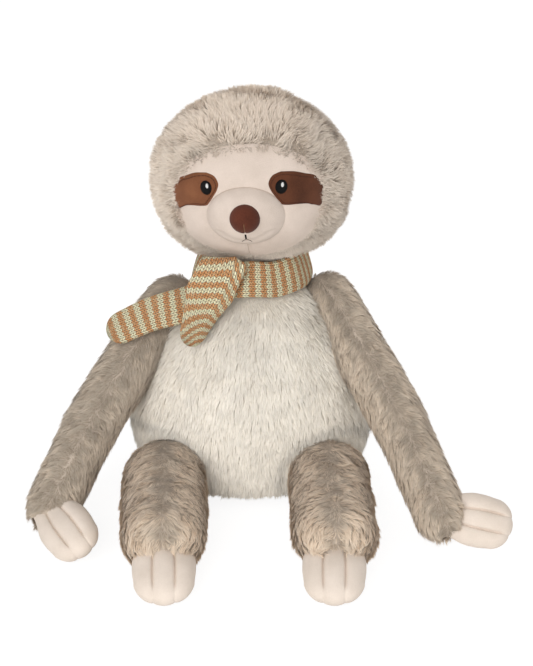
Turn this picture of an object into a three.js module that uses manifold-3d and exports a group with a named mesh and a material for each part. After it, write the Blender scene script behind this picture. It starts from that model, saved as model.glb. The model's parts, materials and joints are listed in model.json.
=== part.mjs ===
import * as THREE from 'three';
import { mergeVertices } from 'three/addons/utils/BufferGeometryUtils.js';
import Module from 'manifold-3d';

// A sitting plush sloth in millimetres, +Z up, facing -Y. Left and right are as seen from the front
const wasm = await Module();
wasm.setup();

// Fabrics, and the clearance between pieces that lie against each other
const furWall = 7;
const velourWall = 1.8;
const seamGap = 0.4;
const floorCut = 0.5;
const overrun = 60;

// Body: a pear-shaped bag, widest low down, leaning forward at the belly
const bodyHeight = 166;
const bodyHalfWidth = 94;
const bodyHalfDepth = 73;
const bellyLead = 14;
const seamBack = 3;
const bellyHem = 9;
const bellyHemDepth = 46;
const bellySeamRise = 52;
const neckSink = 2;
const neckRadius = 27;
const neckHeight = bodyHeight - neckSink;
const nodDown = THREE.MathUtils.degToRad(8);

// Pellet pouch in the seat
const pouchHalfWidth = 54;
const pouchHalfDepth = 40;
const pouchHalfHeight = 17;

// Head, measured from the neck
const headHalfWidth = 73.5;
const headHalfDepth = 65;
const headHalfHeight = 65.5;
const headForward = 2;
const headSide = 4.4;
const cheekShare = 0.26;
const headTurn = THREE.MathUtils.degToRad(-4.5);
const headRoll = THREE.MathUtils.degToRad(-2.4);
const faceHalfWidth = 50.5;
const faceHalfHeight = 40.5;
const faceDrop = 1;

// Features of the face
const muzzleHalfWidth = 28;
const muzzleHalfDepth = 22;
const muzzleHalfHeight = 22;
const muzzleForward = 50;
const muzzleDrop = 6.5;
const noseHalfWidth = 10.8;
const noseHalfDepth = 9;
const noseHalfHeight = 9.6;
const noseForward = 71;
const noseDrop = 5;
const eyeSpread = 26;
const eyeRise = 11;
const eyeHalfWidth = 4.5;
const eyeHalfHeight = 5.2;
const glintRadius = 1.2;
const glintRise = 1.2;
const patchHalfWidth = 18.3;
const patchHalfHeight = 12.3;
const patchSpread = 9.7;
const patchDrop = 2;
const patchThickness = 1.2;
const eyeThickness = 1;
const glintThickness = 0.5;
const mouthDrop = 20.5;
const mouthHalfWidth = 4.6;
const mouthHeight = 6;
const mouthLine = 1.3;
const mouthThickness = 1;

// Arms: long tubes that hang forward from the shoulders, with the wrists on the floor
const shoulderSpread = 57;
const shoulderDrop = 39;
const shoulderBack = 1;
const shoulderHeight = neckHeight - shoulderDrop;
const armRootRadius = 24.5;
const armWristRadius = 21.5;
const armSwell = 1;
const armSwings = [-10, 30, 60];
const leftElbowFromShoulder = [-47, -53, -39];
const leftWristPlace = [-139, -110, armWristRadius - floorCut];
const rightElbowFromShoulder = [42, -55, -35];
const rightWristPlace = [134, -124, armWristRadius - floorCut];
const closingHoleRadius = 8;

// Legs: stout tubes that lie forward on the floor
const leftHipSpread = 62;
const rightHipSpread = 57;
const hipForward = 76;
const legHalfHeight = 26.5;
const legHalfWidth = 32.5;
const ankleForward = 157;
const leftAnkleSpread = 58;
const rightAnkleSpread = 59;
const hipHeight = legHalfHeight - floorCut;
const legSwings = [-60, -30, 30];
const swingGap = 1.5;

// Mitts: flat, with three sewn fingers
const handHalfWidth = 19;
const handHalfThickness = 10.5;
const leftHandReach = 60;
const rightHandReach = 52;
const leftHandAxisHeight = 13;
const rightHandAxisHeight = 13.5;
const leftHandRootShift = [-4, -3, 0];
const leftHandTurn = THREE.MathUtils.degToRad(31);
const rightHandTurn = THREE.MathUtils.degToRad(80);
// The way each back of hand or foot faces, as shares
const leftHandFacingShares = [-0.5, 0, 0.866];
const rightHandFacingShares = [0, -0.766, 0.643];
const footFacingShares = [0, 0, 1];
const footHalfWidth = 21.5;
const footHalfThickness = 10.5;
const footReach = 68;
const footAxisHeight = 10;
const leftFootTurn = THREE.MathUtils.degToRad(3);
const rightFootTurn = THREE.MathUtils.degToRad(-2);
const mittRaise = THREE.MathUtils.degToRad(35);
const fingerNotch = 5;
const mittPlumpShare = 0.72;
const mittRootShare = 0.82;
const grooveShare = 0.42;
const grooveStartShare = 0.5;
const grooveSpreadShare = 0.8;

// Scarf: a flattened knitted tube, round the neck once, with two tails
const scarfWidth = 27;
const scarfThickness = 8;
const scarfPlumpShare = 0.6;
const wrapHalfWidth = 46;
const wrapHalfDepth = 50;
const wrapDrop = 9;
const wrapSide = 2;
const wrapFlare = 4;
const wrapForward = 2;
const wrapTilt = THREE.MathUtils.degToRad(7);
const tailHalfWidth = 13.5;
const tailHalfThickness = 4.5;
const tailRootShare = 0.9;
// Tail points from the front of the wrap at the neck's height, and the way each tail faces as shares
const frontTailPlaces = [[-14, -5.7, 14.2], [-23, -8.2, -19.3], [-43, -6.2, -48.8]];
const frontTailFacingShares = [0.1, -1, 0.3];
const sideTailPlaces = [[-28, 3, -14], [-66, 10, -23], [-103, 10, -43]];
const sideTailFacingShares = [-0.25, -0.75, 0.6];

// Counts of faces
const bodySegments = 16;
const bodyRings = 9;
const headSegments = 16;
const headRings = 10;
const limbSegments = 12;
const capRings = limbSegments / 4;
const socketSegments = 16;
const limbRings = 3;
const padSegments = 12;
const padRings = 6;
const smallSegments = 10;
const smallRings = 6;
const outlineSegments = 12;
const wrapSegments = 16;

const materials = {
  fur: { color: 0xb9a793, roughness: 0.95 },
  hood: { color: 0xc4b5a2, roughness: 0.95 },
  belly: { color: 0xe1d7c8, roughness: 0.95 },
  velour: { color: 0xe8dace, roughness: 0.9 },
  patch: { color: 0x70422a, roughness: 0.9 },
  nose: { color: 0x623226, roughness: 0.9 },
  eye: { color: 0x101010, roughness: 0.3 },
  glint: { color: 0xf4f4f4, roughness: 0.5 },
  thread: { color: 0x2a1c18, roughness: 0.6 },
  scarf: { color: 0xcfa970, roughness: 0.9 },
  stuffing: { color: 0xf2f0ea, roughness: 1 },
  pouch: { color: 0xd8d2c4, roughness: 0.9 },
};

// Closed three.js geometry as a solid that can be cut and joined
function solidOf(geometry) {
  const bare = geometry.clone();
  bare.deleteAttribute('normal');
  bare.deleteAttribute('uv');
  const merged = mergeVertices(bare);
  const index = merged.index.array;
  const corners = [];
  for (let i = 0; i < index.length; i += 3) {
    const [a, b, c] = index.slice(i, i + 3);
    if (a !== b && b !== c && c !== a) corners.push(a, b, c);
  }
  const vertProperties = merged.attributes.position.array;
  return new wasm.Manifold(new wasm.Mesh({ numProp: 3, vertProperties, triVerts: new Uint32Array(corners) }));
}

function meshOf(name, solid, finish) {
  const { vertProperties, triVerts } = solid.getMesh();
  const geometry = new THREE.BufferGeometry();
  geometry.setAttribute('position', new THREE.BufferAttribute(vertProperties, 3));
  geometry.setIndex(new THREE.BufferAttribute(triVerts, 1));
  geometry.computeVertexNormals();
  const mesh = new THREE.Mesh(geometry, new THREE.MeshStandardMaterial(materials[finish]));
  mesh.name = name;
  return mesh;
}

// Moves each vertex of a geometry by a rule that maps one point to another
function reshape(geometry, rule) {
  const position = geometry.attributes.position;
  const point = new THREE.Vector3();
  for (let i = 0; i < position.count; i += 1) {
    point.fromBufferAttribute(position, i);
    rule(point);
    position.setXYZ(i, point.x, point.y, point.z);
  }
  return geometry;
}

function ellipsoid(centre, halfWidth, halfDepth, halfHeight, around = smallSegments, rings = smallRings) {
  const geometry = new THREE.SphereGeometry(1, around, rings);
  geometry.scale(halfWidth, halfDepth, halfHeight);
  geometry.translate(centre.x, centre.y, centre.z);
  return solidOf(geometry);
}

const floorBlock = solidOf(
  new THREE.BoxGeometry(bodyHeight * 4, bodyHeight * 4, overrun).translate(0, 0, -overrun / 2),
);

// A turn about an axis through a point, as the matrix that moves a solid
function turnAbout(point, axis, angle) {
  const turn = new THREE.Matrix4().makeRotationAxis(axis.clone().normalize(), angle);
  const back = new THREE.Matrix4().makeTranslation(-point.x, -point.y, -point.z);
  return turn.premultiply(new THREE.Matrix4().makeTranslation(point)).multiply(back).elements;
}
const rightward = new THREE.Vector3(1, 0, 0);

// Body outline from the middle of the seat to the neck: shares of half width, then of height
const bodyOutlineShares = [
  [0, 0], [0.28, 0.0003], [0.58, 0.004], [0.84, 0.036], [0.965, 0.13], [1, 0.27], [0.985, 0.4], [0.93, 0.52],
  [0.83, 0.64], [0.7, 0.74], [0.57, 0.82], [0.46, 0.885], [0.36, 0.94], [0.2, 0.985], [0, 1],
];

function bodyForm(inset) {
  const knots = bodyOutlineShares.map(
    ([across, up]) => new THREE.Vector2(across * bodyHalfWidth, up * (bodyHeight + floorCut) - floorCut),
  );
  const outline = new THREE.SplineCurve(knots);
  const points = [];
  for (let i = 0; i <= bodyRings; i += 1) {
    const at = outline.getPoint(i / bodyRings);
    const along = outline.getTangent(i / bodyRings);
    const onAxis = i === 0 || i === bodyRings;
    const across = onAxis ? 0 : Math.max(at.x - along.y * inset, 0);
    const outward = onAxis ? Math.sign(i - 1) * inset : -along.x * inset;
    points.push(new THREE.Vector2(across, at.y - outward));
  }
  const geometry = new THREE.LatheGeometry(points, bodySegments);
  geometry.rotateX(Math.PI / 2);
  reshape(geometry, (p) => {
    p.y = (p.y * bodyHalfDepth) / bodyHalfWidth - bellyLead * (1 - p.z / bodyHeight);
  });
  return solidOf(geometry);
}

// Straight extension of a curve past both of its ends, with a sideways direction and the one it faces
const upward = new THREE.Vector3(0, 0, 1);
function frameAlong(path, distance, facing = upward) {
  const length = path.getLength();
  const share = THREE.MathUtils.clamp(distance / length, 0, 1);
  const along = path.getTangentAt(share);
  const at = path.getPointAt(share).addScaledVector(along, distance - share * length);
  const side = along.clone().cross(facing).normalize();
  const over = side.clone().cross(along);
  return { at, along, side, over };
}

// A stuffed tube with a ball at each end, bent along its path
function limbForm(limb, inset) {
  const length = limb.path.getLength();
  const root = limb.rootRadius - inset;
  const end = limb.endRadius - inset;
  const points = [];
  for (let i = 0; i < capRings; i += 1) {
    const angle = ((i / capRings - 1) * Math.PI) / 2;
    points.push(new THREE.Vector2(root * Math.cos(angle), root * Math.sin(angle)));
  }
  points[0].x = 0;
  for (let i = 0; i <= limbRings; i += 1) {
    const share = i / limbRings;
    const radius = root + (end - root) * share + limb.swell * Math.sin(Math.PI * share);
    points.push(new THREE.Vector2(radius, share * length));
  }
  for (let i = 1; i <= capRings; i += 1) {
    const angle = ((i / capRings) * Math.PI) / 2;
    points.push(new THREE.Vector2(end * Math.cos(angle), length + end * Math.sin(angle)));
  }
  points[points.length - 1].x = 0;
  const geometry = new THREE.LatheGeometry(points, limbSegments);
  reshape(geometry, (p) => {
    const { at, side, over } = frameAlong(limb.path, p.y);
    const across = p.x * limb.sideShare;
    const up = p.z;
    p.copy(at).addScaledVector(side, across).addScaledVector(over, up);
  });
  return solidOf(geometry);
}

// A faceted socket's radius, at which its flats still clear the ball inside by the seam's gap
const flatShare = Math.cos(Math.PI / socketSegments) ** 2;
function socketInset(radius) {
  return radius - (radius + seamGap) / flatShare;
}

// The ball at a limb's root or end. Its side axis is the axis on which the limb or mitt turns
function limbBall(limb, atEnd, inset, around = limbSegments) {
  const { at, along, side, over } = frameAlong(limb.path, atEnd ? limb.path.getLength() : 0);
  const radius = (atEnd ? limb.endRadius : limb.rootRadius) - inset;
  const wide = (atEnd ? limb.endRadius : limb.rootRadius) * limb.sideShare - inset;
  const geometry = new THREE.SphereGeometry(1, around, around / 2);
  reshape(geometry, (p) => {
    const { x, y, z } = p;
    p.copy(at).addScaledVector(side, x * wide).addScaledVector(along, y * radius);
    p.addScaledVector(over, z * radius);
  });
  return solidOf(geometry);
}

function holeAtEnd(limb) {
  const { at, along } = frameAlong(limb.path, limb.path.getLength());
  const geometry = new THREE.CylinderGeometry(closingHoleRadius, closingHoleRadius, overrun, smallSegments);
  geometry.translate(0, overrun / 2, 0);
  geometry.applyQuaternion(new THREE.Quaternion().setFromUnitVectors(new THREE.Vector3(0, 1, 0), along));
  geometry.translate(at.x, at.y, at.z);
  return solidOf(geometry);
}

// A limb's outer form with its root ball whole, hollowed where the body comes at each of its swings
function seatedLimb(limb, inset) {
  const ball = limbBall(limb, false, inset - seamGap / 4);
  const side = bodyForm(-inset - swingGap);
  const { at } = frameAlong(limb.path, 0);
  const turns = limb.swings.map((raise) => turnAbout(at, rightward, THREE.MathUtils.degToRad(raise)));
  const hollow = turns.reduce((joined, turn) => joined.add(side.transform(turn)), side).subtract(ball);
  return limbForm(limb, inset).subtract(hollow).subtract(floorBlock.translate(0, 0, inset));
}

// A soft flat pad on a path: a unit ball squared off, then given its length, width and thickness
function padForm(pad, inset) {
  const length = pad.path.getLength();
  const geometry = new THREE.SphereGeometry(1, padSegments, padRings);
  reshape(geometry, (p) => {
    const ring = Math.hypot(p.x, p.z);
    const plump = ring > 0 ? ring ** pad.plumpShare / ring : 0;
    const reach = Math.sign(p.y) * Math.abs(p.y) ** pad.plumpShare;
    const share = (1 + reach) / 2;
    const across = p.x * plump;
    const ridge = Math.abs(Math.cos((across * pad.fingers * Math.PI) / 2));
    const between = Math.abs(across) < grooveSpreadShare ? 1 - ridge : 0;
    const groove = pad.grooveShare * between * Math.min(1, share / grooveStartShare);
    const width = (pad.halfWidth - inset) * (pad.rootShare + (1 - pad.rootShare) * share);
    const thickness = (pad.halfThickness - inset) * (1 - groove);
    const tip = Math.max(share / grooveStartShare - 1, 0) * pad.notch * between;
    const distance = inset + share * (length - inset * 2) - tip;
    const { at, side, over } = frameAlong(pad.path, distance, pad.facing);
    const up = p.z * plump * thickness;
    p.copy(at).addScaledVector(side, across * width).addScaledVector(over, up);
  });
  return solidOf(geometry);
}

const sloth = new THREE.Group();

// Limbs on their paths
function limbOn(points, rootRadius, endRadius, swell, sideShare, swings) {
  const path = new THREE.QuadraticBezierCurve3(...points);
  return { path, rootRadius, endRadius, swell, sideShare, swings };
}
const limbs = {};
const sides = [
  ['left', -1, leftElbowFromShoulder, leftWristPlace, leftHipSpread, leftAnkleSpread],
  ['right', 1, rightElbowFromShoulder, rightWristPlace, rightHipSpread, rightAnkleSpread],
];
for (const [sideName, side, elbowPlace, wristPlace, hipSpread, ankleSpread] of sides) {
  const shoulder = new THREE.Vector3(side * shoulderSpread, shoulderBack, shoulderHeight);
  const elbow = new THREE.Vector3(...elbowPlace).add(shoulder);
  const wrist = new THREE.Vector3(...wristPlace);
  limbs[`${sideName}_arm`] = limbOn(
    [shoulder, elbow, wrist], armRootRadius, armWristRadius, armSwell, 1, armSwings,
  );
  const hip = new THREE.Vector3(side * hipSpread, -hipForward, hipHeight);
  const ankle = new THREE.Vector3(side * ankleSpread, -ankleForward, hipHeight);
  const knee = hip.clone().lerp(ankle, 1 / 2);
  const stretch = legHalfWidth / legHalfHeight;
  limbs[`${sideName}_leg`] = limbOn([hip, knee, ankle], legHalfHeight, legHalfHeight, 0, stretch, legSwings);
}

// Body: fur shell in two panels round the stuffing, open at the limbs and at the neck
const pockets = Object.values(limbs).map((limb) => {
  return limbBall(limb, false, socketInset(limb.rootRadius), socketSegments);
});
const neck = new THREE.Vector3(0, 0, neckHeight);
function neckBall(inset) {
  const radius = neckRadius - inset;
  return ellipsoid(neck, radius, radius, radius, limbSegments, limbSegments / 2);
}
function withoutPockets(solid) {
  return pockets.reduce((left, pocket) => left.subtract(pocket), solid);
}
function bellyCutter(grow) {
  const outline = new THREE.Shape();
  const back = -seamBack + grow;
  outline.moveTo(-overrun * 3, bellyHem - grow);
  outline.lineTo(-bellyHemDepth + grow, bellyHem - grow);
  outline.quadraticCurveTo(back, bellyHem - grow, back, bellySeamRise - grow);
  outline.lineTo(back, bodyHeight + overrun);
  outline.lineTo(-overrun * 3, bodyHeight + overrun);
  const depth = bodyHalfWidth * 2 + overrun;
  const geometry = new THREE.ExtrudeGeometry(outline, { depth, bevelEnabled: false, curveSegments: 6 });
  geometry.translate(0, 0, -depth / 2);
  geometry.applyMatrix4(new THREE.Matrix4().makeBasis(
    new THREE.Vector3(0, 1, 0), new THREE.Vector3(0, 0, 1), new THREE.Vector3(1, 0, 0),
  ));
  return solidOf(geometry);
}
const bodyOuter = bodyForm(0).subtract(floorBlock);
const bodySkin = withoutPockets(bodyOuter.subtract(bodyForm(furWall))).subtract(neckBall(-seamGap));
const bodyFill = withoutPockets(bodyForm(furWall + seamGap)).add(neckBall(0));
const pouchCentre = new THREE.Vector3(0, -bellyLead, furWall);
function pouchForm(inset) {
  const sizes = [pouchHalfWidth, pouchHalfDepth, pouchHalfHeight].map((size) => size - inset);
  return ellipsoid(pouchCentre, ...sizes, bodySegments, smallRings);
}
sloth.add(
  meshOf('belly_panel', bodySkin.intersect(bellyCutter(0)), 'belly'),
  meshOf('back_panel', bodySkin.subtract(bellyCutter(seamGap)), 'fur'),
  meshOf('body_stuffing', bodyFill.subtract(pouchForm(-seamGap)), 'stuffing'),
  meshOf('pellet_pouch', withoutPockets(bodyForm(furWall + seamGap)).intersect(pouchForm(0)), 'pouch'),
);

// Arms and legs: a fur sleeve round its stuffing, with the opening that the mitt is sewn into
for (const [name, limb] of Object.entries(limbs)) {
  const sleeve = seatedLimb(limb, 0).subtract(seatedLimb(limb, furWall)).subtract(holeAtEnd(limb));
  const fill = seatedLimb(limb, furWall + seamGap);
  sloth.add(meshOf(`${name}_sleeve`, sleeve, 'fur'), meshOf(`${name}_stuffing`, fill, 'stuffing'));
}

// Mitts: a velour bag round its stuffing, hollowed at the root where it meets the sleeve's ball
function addMitt(name, limb, rootShift, turn, facingShares, reach, axisHeight, halfWidth, halfThickness) {
  const { at } = frameAlong(limb.path, limb.path.getLength());
  const root = new THREE.Vector3(...rootShift).add(at);
  const tip = new THREE.Vector3(Math.sin(turn), -Math.cos(turn), 0).multiplyScalar(reach).add(root);
  tip.z = axisHeight;
  const mitt = {
    path: new THREE.LineCurve3(root, tip),
    facing: new THREE.Vector3(...facingShares),
    plumpShare: mittPlumpShare,
    fingers: 3,
    grooveShare,
    notch: fingerNotch,
    rootShare: mittRootShare,
    halfWidth,
    halfThickness,
  };
  const sideways = frameAlong(mitt.path, 0).side;
  const raised = limbForm(limb, -seamGap * 2).transform(turnAbout(at, sideways, -mittRaise));
  const ball = limbBall(limb, true, socketInset(limb.endRadius), socketSegments).add(raised);
  const bag = padForm(mitt, 0).subtract(padForm(mitt, velourWall)).subtract(ball).subtract(floorBlock);
  const floor = floorBlock.translate(0, 0, velourWall);
  const fill = padForm(mitt, velourWall + seamGap).subtract(ball).subtract(floor);
  sloth.add(meshOf(`${name}_mitt`, bag, 'velour'), meshOf(`${name}_stuffing`, fill, 'stuffing'));
}
const handSizes = [handHalfWidth, handHalfThickness];
const footSizes = [footReach, footAxisHeight, footHalfWidth, footHalfThickness];
const unmoved = [0, 0, 0];
const leftHandPlace = [leftHandRootShift, leftHandTurn, leftHandFacingShares];
const rightHandPlace = [unmoved, rightHandTurn, rightHandFacingShares];
addMitt('left_hand', limbs.left_arm, ...leftHandPlace, leftHandReach, leftHandAxisHeight, ...handSizes);
addMitt('right_hand', limbs.right_arm, ...rightHandPlace, rightHandReach, rightHandAxisHeight, ...handSizes);
addMitt('left_foot', limbs.left_leg, unmoved, leftFootTurn, footFacingShares, ...footSizes);
addMitt('right_foot', limbs.right_leg, unmoved, rightFootTurn, footFacingShares, ...footSizes);

// Head: in its own group on the neck, turned and rolled a little
const head = new THREE.Group();
head.position.set(headSide, 0, neckHeight);
head.rotation.set(0, headRoll, headTurn);
head.updateMatrixWorld();
const headCentre = new THREE.Vector3(0, -headForward, headHalfHeight);
// The head widens at the cheeks, below its middle
function headForm(inset) {
  const geometry = new THREE.SphereGeometry(1, headSegments, headRings);
  geometry.rotateX(Math.PI / 2);
  reshape(geometry, (p) => {
    const cheek = 1 + cheekShare * Math.min(p.z, 0) ** 2;
    p.x *= (headHalfWidth - inset) * cheek;
    p.y *= headHalfDepth - inset;
    p.z *= headHalfHeight - inset;
    p.add(headCentre);
  });
  return solidOf(geometry);
}
function neckSocket() {
  const radius = neckRadius - socketInset(neckRadius);
  const centre = head.worldToLocal(neck.clone());
  return ellipsoid(centre, radius, radius, radius, socketSegments, socketSegments / 2);
}
// A cutter that runs forward through an outline drawn on the face, X to the right and Z up
function faceCutter(outline, start = 0) {
  const geometry = new THREE.ExtrudeGeometry(outline, {
    depth: headHalfDepth + overrun, bevelEnabled: false, curveSegments: outlineSegments / 4,
  });
  geometry.rotateX(Math.PI / 2);
  geometry.translate(0, -start, 0);
  return solidOf(geometry);
}
function oval(x, z, halfWidth, halfHeight) {
  const outline = new THREE.Shape();
  const points = [];
  for (let i = 0; i < outlineSegments; i += 1) {
    const angle = (i / outlineSegments) * Math.PI * 2;
    points.push(new THREE.Vector2(x + halfWidth * Math.cos(angle), z + halfHeight * Math.sin(angle)));
  }
  outline.setFromPoints(points);
  return outline;
}
const faceInset = furWall - velourWall;
const faceHeight = headHalfHeight - faceDrop;
const faceHole = faceCutter(oval(0, faceHeight, faceHalfWidth, faceHalfHeight));
const facePlug = faceCutter(oval(0, faceHeight, faceHalfWidth - seamGap, faceHalfHeight - seamGap));
const faceSkin = headForm(faceInset).subtract(headForm(furWall));
const hoodSkin = headForm(0).subtract(headForm(furWall)).subtract(faceHole);
head.add(
  meshOf('head_hood', hoodSkin.subtract(neckSocket()), 'hood'),
  meshOf('face_panel', faceSkin.intersect(facePlug), 'velour'),
  meshOf('head_stuffing', headForm(furWall + seamGap).subtract(neckSocket()), 'stuffing'),
);

// Muzzle and nose
const muzzleCentre = new THREE.Vector3(0, -muzzleForward, headHalfHeight - muzzleDrop);
function muzzleForm(inset) {
  const sizes = [muzzleHalfWidth, muzzleHalfDepth, muzzleHalfHeight].map((size) => size - inset);
  return ellipsoid(muzzleCentre, ...sizes, padSegments, padRings);
}
const noseCentre = new THREE.Vector3(0, -noseForward, headHalfHeight - noseDrop);
const faceOver = headForm(faceInset - seamGap);
const noseBall = ellipsoid(noseCentre, noseHalfWidth, noseHalfDepth, noseHalfHeight);
head.add(
  meshOf('muzzle_panel', muzzleForm(0).subtract(faceOver), 'velour'),
  meshOf('nose', noseBall.subtract(muzzleForm(-seamGap)), 'nose'),
);

// Eye patches, eyes and glints: thin pieces that follow the face, each over the one below
function layerOnFace(outline, lift, thickness) {
  const cutter = faceCutter(outline);
  return headForm(faceInset - lift - thickness).subtract(headForm(faceInset - lift)).intersect(cutter);
}
const patchOutlineShares = [
  [-1, -0.35], [-0.95, 0.2], [-0.75, 0.65], [-0.4, 0.92], [0.1, 1], [0.6, 0.8], [1, 0.35], [0.95, -0.35],
  [0.6, -0.8], [0.1, -0.95], [-0.45, -1], [-0.85, -0.85],
];
for (const [sideName, side] of [['left', -1], ['right', 1]]) {
  const x = side * eyeSpread;
  const z = headHalfHeight + eyeRise;
  const outline = new THREE.Shape(patchOutlineShares.map(([across, up]) => new THREE.Vector2(
    x + side * (patchSpread + across * patchHalfWidth), z - patchDrop + up * patchHalfHeight,
  )));
  const onFace = layerOnFace(outline, seamGap, patchThickness);
  const patch = onFace.intersect(facePlug).subtract(muzzleForm(-seamGap));
  const eyeLift = seamGap * 2 + patchThickness;
  const eye = layerOnFace(oval(x, z, eyeHalfWidth, eyeHalfHeight), eyeLift, eyeThickness);
  const glintLift = eyeLift + eyeThickness + seamGap;
  const glint = layerOnFace(oval(x, z + glintRise, glintRadius, glintRadius), glintLift, glintThickness);
  head.add(
    meshOf(`eye_patch_${sideName}`, patch, 'patch'),
    meshOf(`eye_${sideName}`, eye, 'eye'),
    meshOf(`eye_glint_${sideName}`, glint, 'glint'),
  );
}

// Mouth: a short upright stitch that splits into two
const mouthTop = headHalfHeight - mouthDrop + mouthHeight;
const mouthFoot = headHalfHeight - mouthDrop;
const mouthOutline = new THREE.Shape();
mouthOutline.moveTo(-mouthLine / 2, mouthTop);
mouthOutline.lineTo(-mouthLine / 2, mouthFoot + mouthLine);
mouthOutline.lineTo(-mouthHalfWidth, mouthFoot - mouthLine);
mouthOutline.lineTo(-mouthHalfWidth, mouthFoot - mouthLine * 2);
mouthOutline.lineTo(0, mouthFoot);
mouthOutline.lineTo(mouthHalfWidth, mouthFoot - mouthLine * 2);
mouthOutline.lineTo(mouthHalfWidth, mouthFoot - mouthLine);
mouthOutline.lineTo(mouthLine / 2, mouthFoot + mouthLine);
mouthOutline.lineTo(mouthLine / 2, mouthTop);
const mouthBand = muzzleForm(-seamGap - mouthThickness).subtract(muzzleForm(-seamGap));
head.add(meshOf('mouth_stitch', mouthBand.intersect(faceCutter(mouthOutline, muzzleForward)), 'thread'));
sloth.add(head);

// Scarf: the wrap is a flattened ring that leans in at the top, and the tails are flat pads
const wrapHalf = scarfThickness / 2;
const wrapPoints = [];
const wrapSides = 8;
for (let i = 0; i <= wrapSides; i += 1) {
  const angle = (i / wrapSides) * Math.PI * 2;
  const up = (Math.sign(Math.sin(angle)) * Math.abs(Math.sin(angle)) ** scarfPlumpShare * scarfWidth) / 2;
  const out = Math.sign(Math.cos(angle)) * Math.abs(Math.cos(angle)) ** scarfPlumpShare * wrapHalf;
  wrapPoints.push(new THREE.Vector2(wrapHalfWidth - wrapHalf + out - (up / scarfWidth) * wrapFlare * 2, up));
}
wrapPoints[wrapSides].copy(wrapPoints[0]);
const wrapGeometry = new THREE.LatheGeometry(wrapPoints, wrapSegments);
wrapGeometry.rotateX(Math.PI / 2);
wrapGeometry.scale(1, wrapHalfDepth / wrapHalfWidth, 1);
wrapGeometry.rotateX(-wrapTilt);
wrapGeometry.translate(wrapSide, -wrapForward, neckHeight - wrapDrop);
const shoulders = [limbs.left_arm, limbs.right_arm].map((limb) => limbBall(limb, false, -swingGap * 2));
const bodyOver = bodyForm(-seamGap).add(neckBall(-seamGap));
const headOver = headForm(-seamGap * 2).transform(head.matrixWorld.elements);
const headNodded = headOver.transform(turnAbout(neck, rightward, nodDown));
const wrapRing = solidOf(wrapGeometry).subtract(bodyOver).subtract(headOver).subtract(headNodded);
const wrap = shoulders.reduce((left, ball) => left.subtract(ball), wrapRing);
const wrapFront = new THREE.Vector3(0, -wrapHalfDepth - wrapForward, neckHeight);
function tailForm(places, facingShares, inset) {
  const points = places.map((place) => new THREE.Vector3(...place).add(wrapFront));
  return padForm({
    path: new THREE.QuadraticBezierCurve3(...points),
    facing: new THREE.Vector3(...facingShares),
    plumpShare: scarfPlumpShare,
    fingers: 1,
    grooveShare: 0,
    notch: 0,
    rootShare: tailRootShare,
    halfWidth: tailHalfWidth,
    halfThickness: tailHalfThickness,
  }, inset);
}
const underTails = [bodyOver, headNodded, ...Object.values(limbs).map((limb) => limbForm(limb, -seamGap))];
function withoutUnder(tail) {
  return underTails.reduce((left, under) => left.subtract(under), tail);
}
const frontTail = withoutUnder(tailForm(frontTailPlaces, frontTailFacingShares, 0));
const overSide = tailForm(frontTailPlaces, frontTailFacingShares, -seamGap);
const besideWrap = wrap.add(wrap.translate(0, -seamGap, 0));
const sideForm = tailForm(sideTailPlaces, sideTailFacingShares, 0);
const sideTail = withoutUnder(sideForm).subtract(overSide).subtract(besideWrap);
sloth.add(
  meshOf('scarf_wrap', wrap, 'scarf'),
  meshOf('scarf_front_tail', frontTail, 'scarf'),
  meshOf('scarf_side_tail', sideTail, 'scarf'),
);

// The part's origin is the middle of its footprint, on the floor
const object = new THREE.Group();
object.add(sloth);
const box = new THREE.Box3().setFromObject(object, true);
sloth.position.set(-(box.min.x + box.max.x) / 2, -(box.min.y + box.max.y) / 2, -box.min.z);

export default object;
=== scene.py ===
import json
import math
from functools import partial

import bmesh
import bpy
import numpy as np
from mathutils import Matrix, Vector, noise


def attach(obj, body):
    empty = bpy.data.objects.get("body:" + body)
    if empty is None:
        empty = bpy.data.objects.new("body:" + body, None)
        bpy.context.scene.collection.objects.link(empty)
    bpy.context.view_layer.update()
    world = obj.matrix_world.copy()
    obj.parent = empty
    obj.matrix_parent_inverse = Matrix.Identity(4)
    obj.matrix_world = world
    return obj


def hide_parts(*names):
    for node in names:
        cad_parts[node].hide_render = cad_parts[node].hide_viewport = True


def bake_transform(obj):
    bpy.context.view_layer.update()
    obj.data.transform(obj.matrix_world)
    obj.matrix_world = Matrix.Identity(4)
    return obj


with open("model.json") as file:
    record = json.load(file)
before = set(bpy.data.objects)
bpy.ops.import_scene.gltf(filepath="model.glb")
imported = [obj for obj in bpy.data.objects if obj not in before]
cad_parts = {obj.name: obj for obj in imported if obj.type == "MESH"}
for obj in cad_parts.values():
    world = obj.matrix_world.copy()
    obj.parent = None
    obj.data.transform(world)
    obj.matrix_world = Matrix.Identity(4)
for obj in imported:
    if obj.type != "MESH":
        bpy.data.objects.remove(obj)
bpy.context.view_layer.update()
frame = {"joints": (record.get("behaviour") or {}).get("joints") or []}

# The set: a pale floor and a soft room, and the camera at the photograph's height, square to the
# toy's front. The toy's joints give the places that every piece below is measured from.
scene = bpy.context.scene
joint_at = {joint["name"]: Vector(joint["pos_m"]) for joint in frame["joints"]}
neck = joint_at["neck_nod"]
camera_rise = math.radians(25)
camera_reach = 1.2
camera_film = 36
camera_lens = 87.65
camera_aim = neck + Vector((0.0124, -0.020, -0.052))


def new_object(name, data):
    made = bpy.data.objects.new(name, data)
    scene.collection.objects.link(made)
    return made


camera_data = bpy.data.cameras.new("camera")
camera_data.sensor_fit = "VERTICAL"
camera_data.sensor_height = camera_film
camera_data.lens = camera_lens
camera = new_object("camera", camera_data)
camera.location = camera_aim + camera_reach * Vector((0, -math.cos(camera_rise), math.sin(camera_rise)))
camera.rotation_euler = (math.pi / 2 - camera_rise, 0, 0)
scene.camera = camera
scene.view_settings.view_transform = "Standard"


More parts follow.
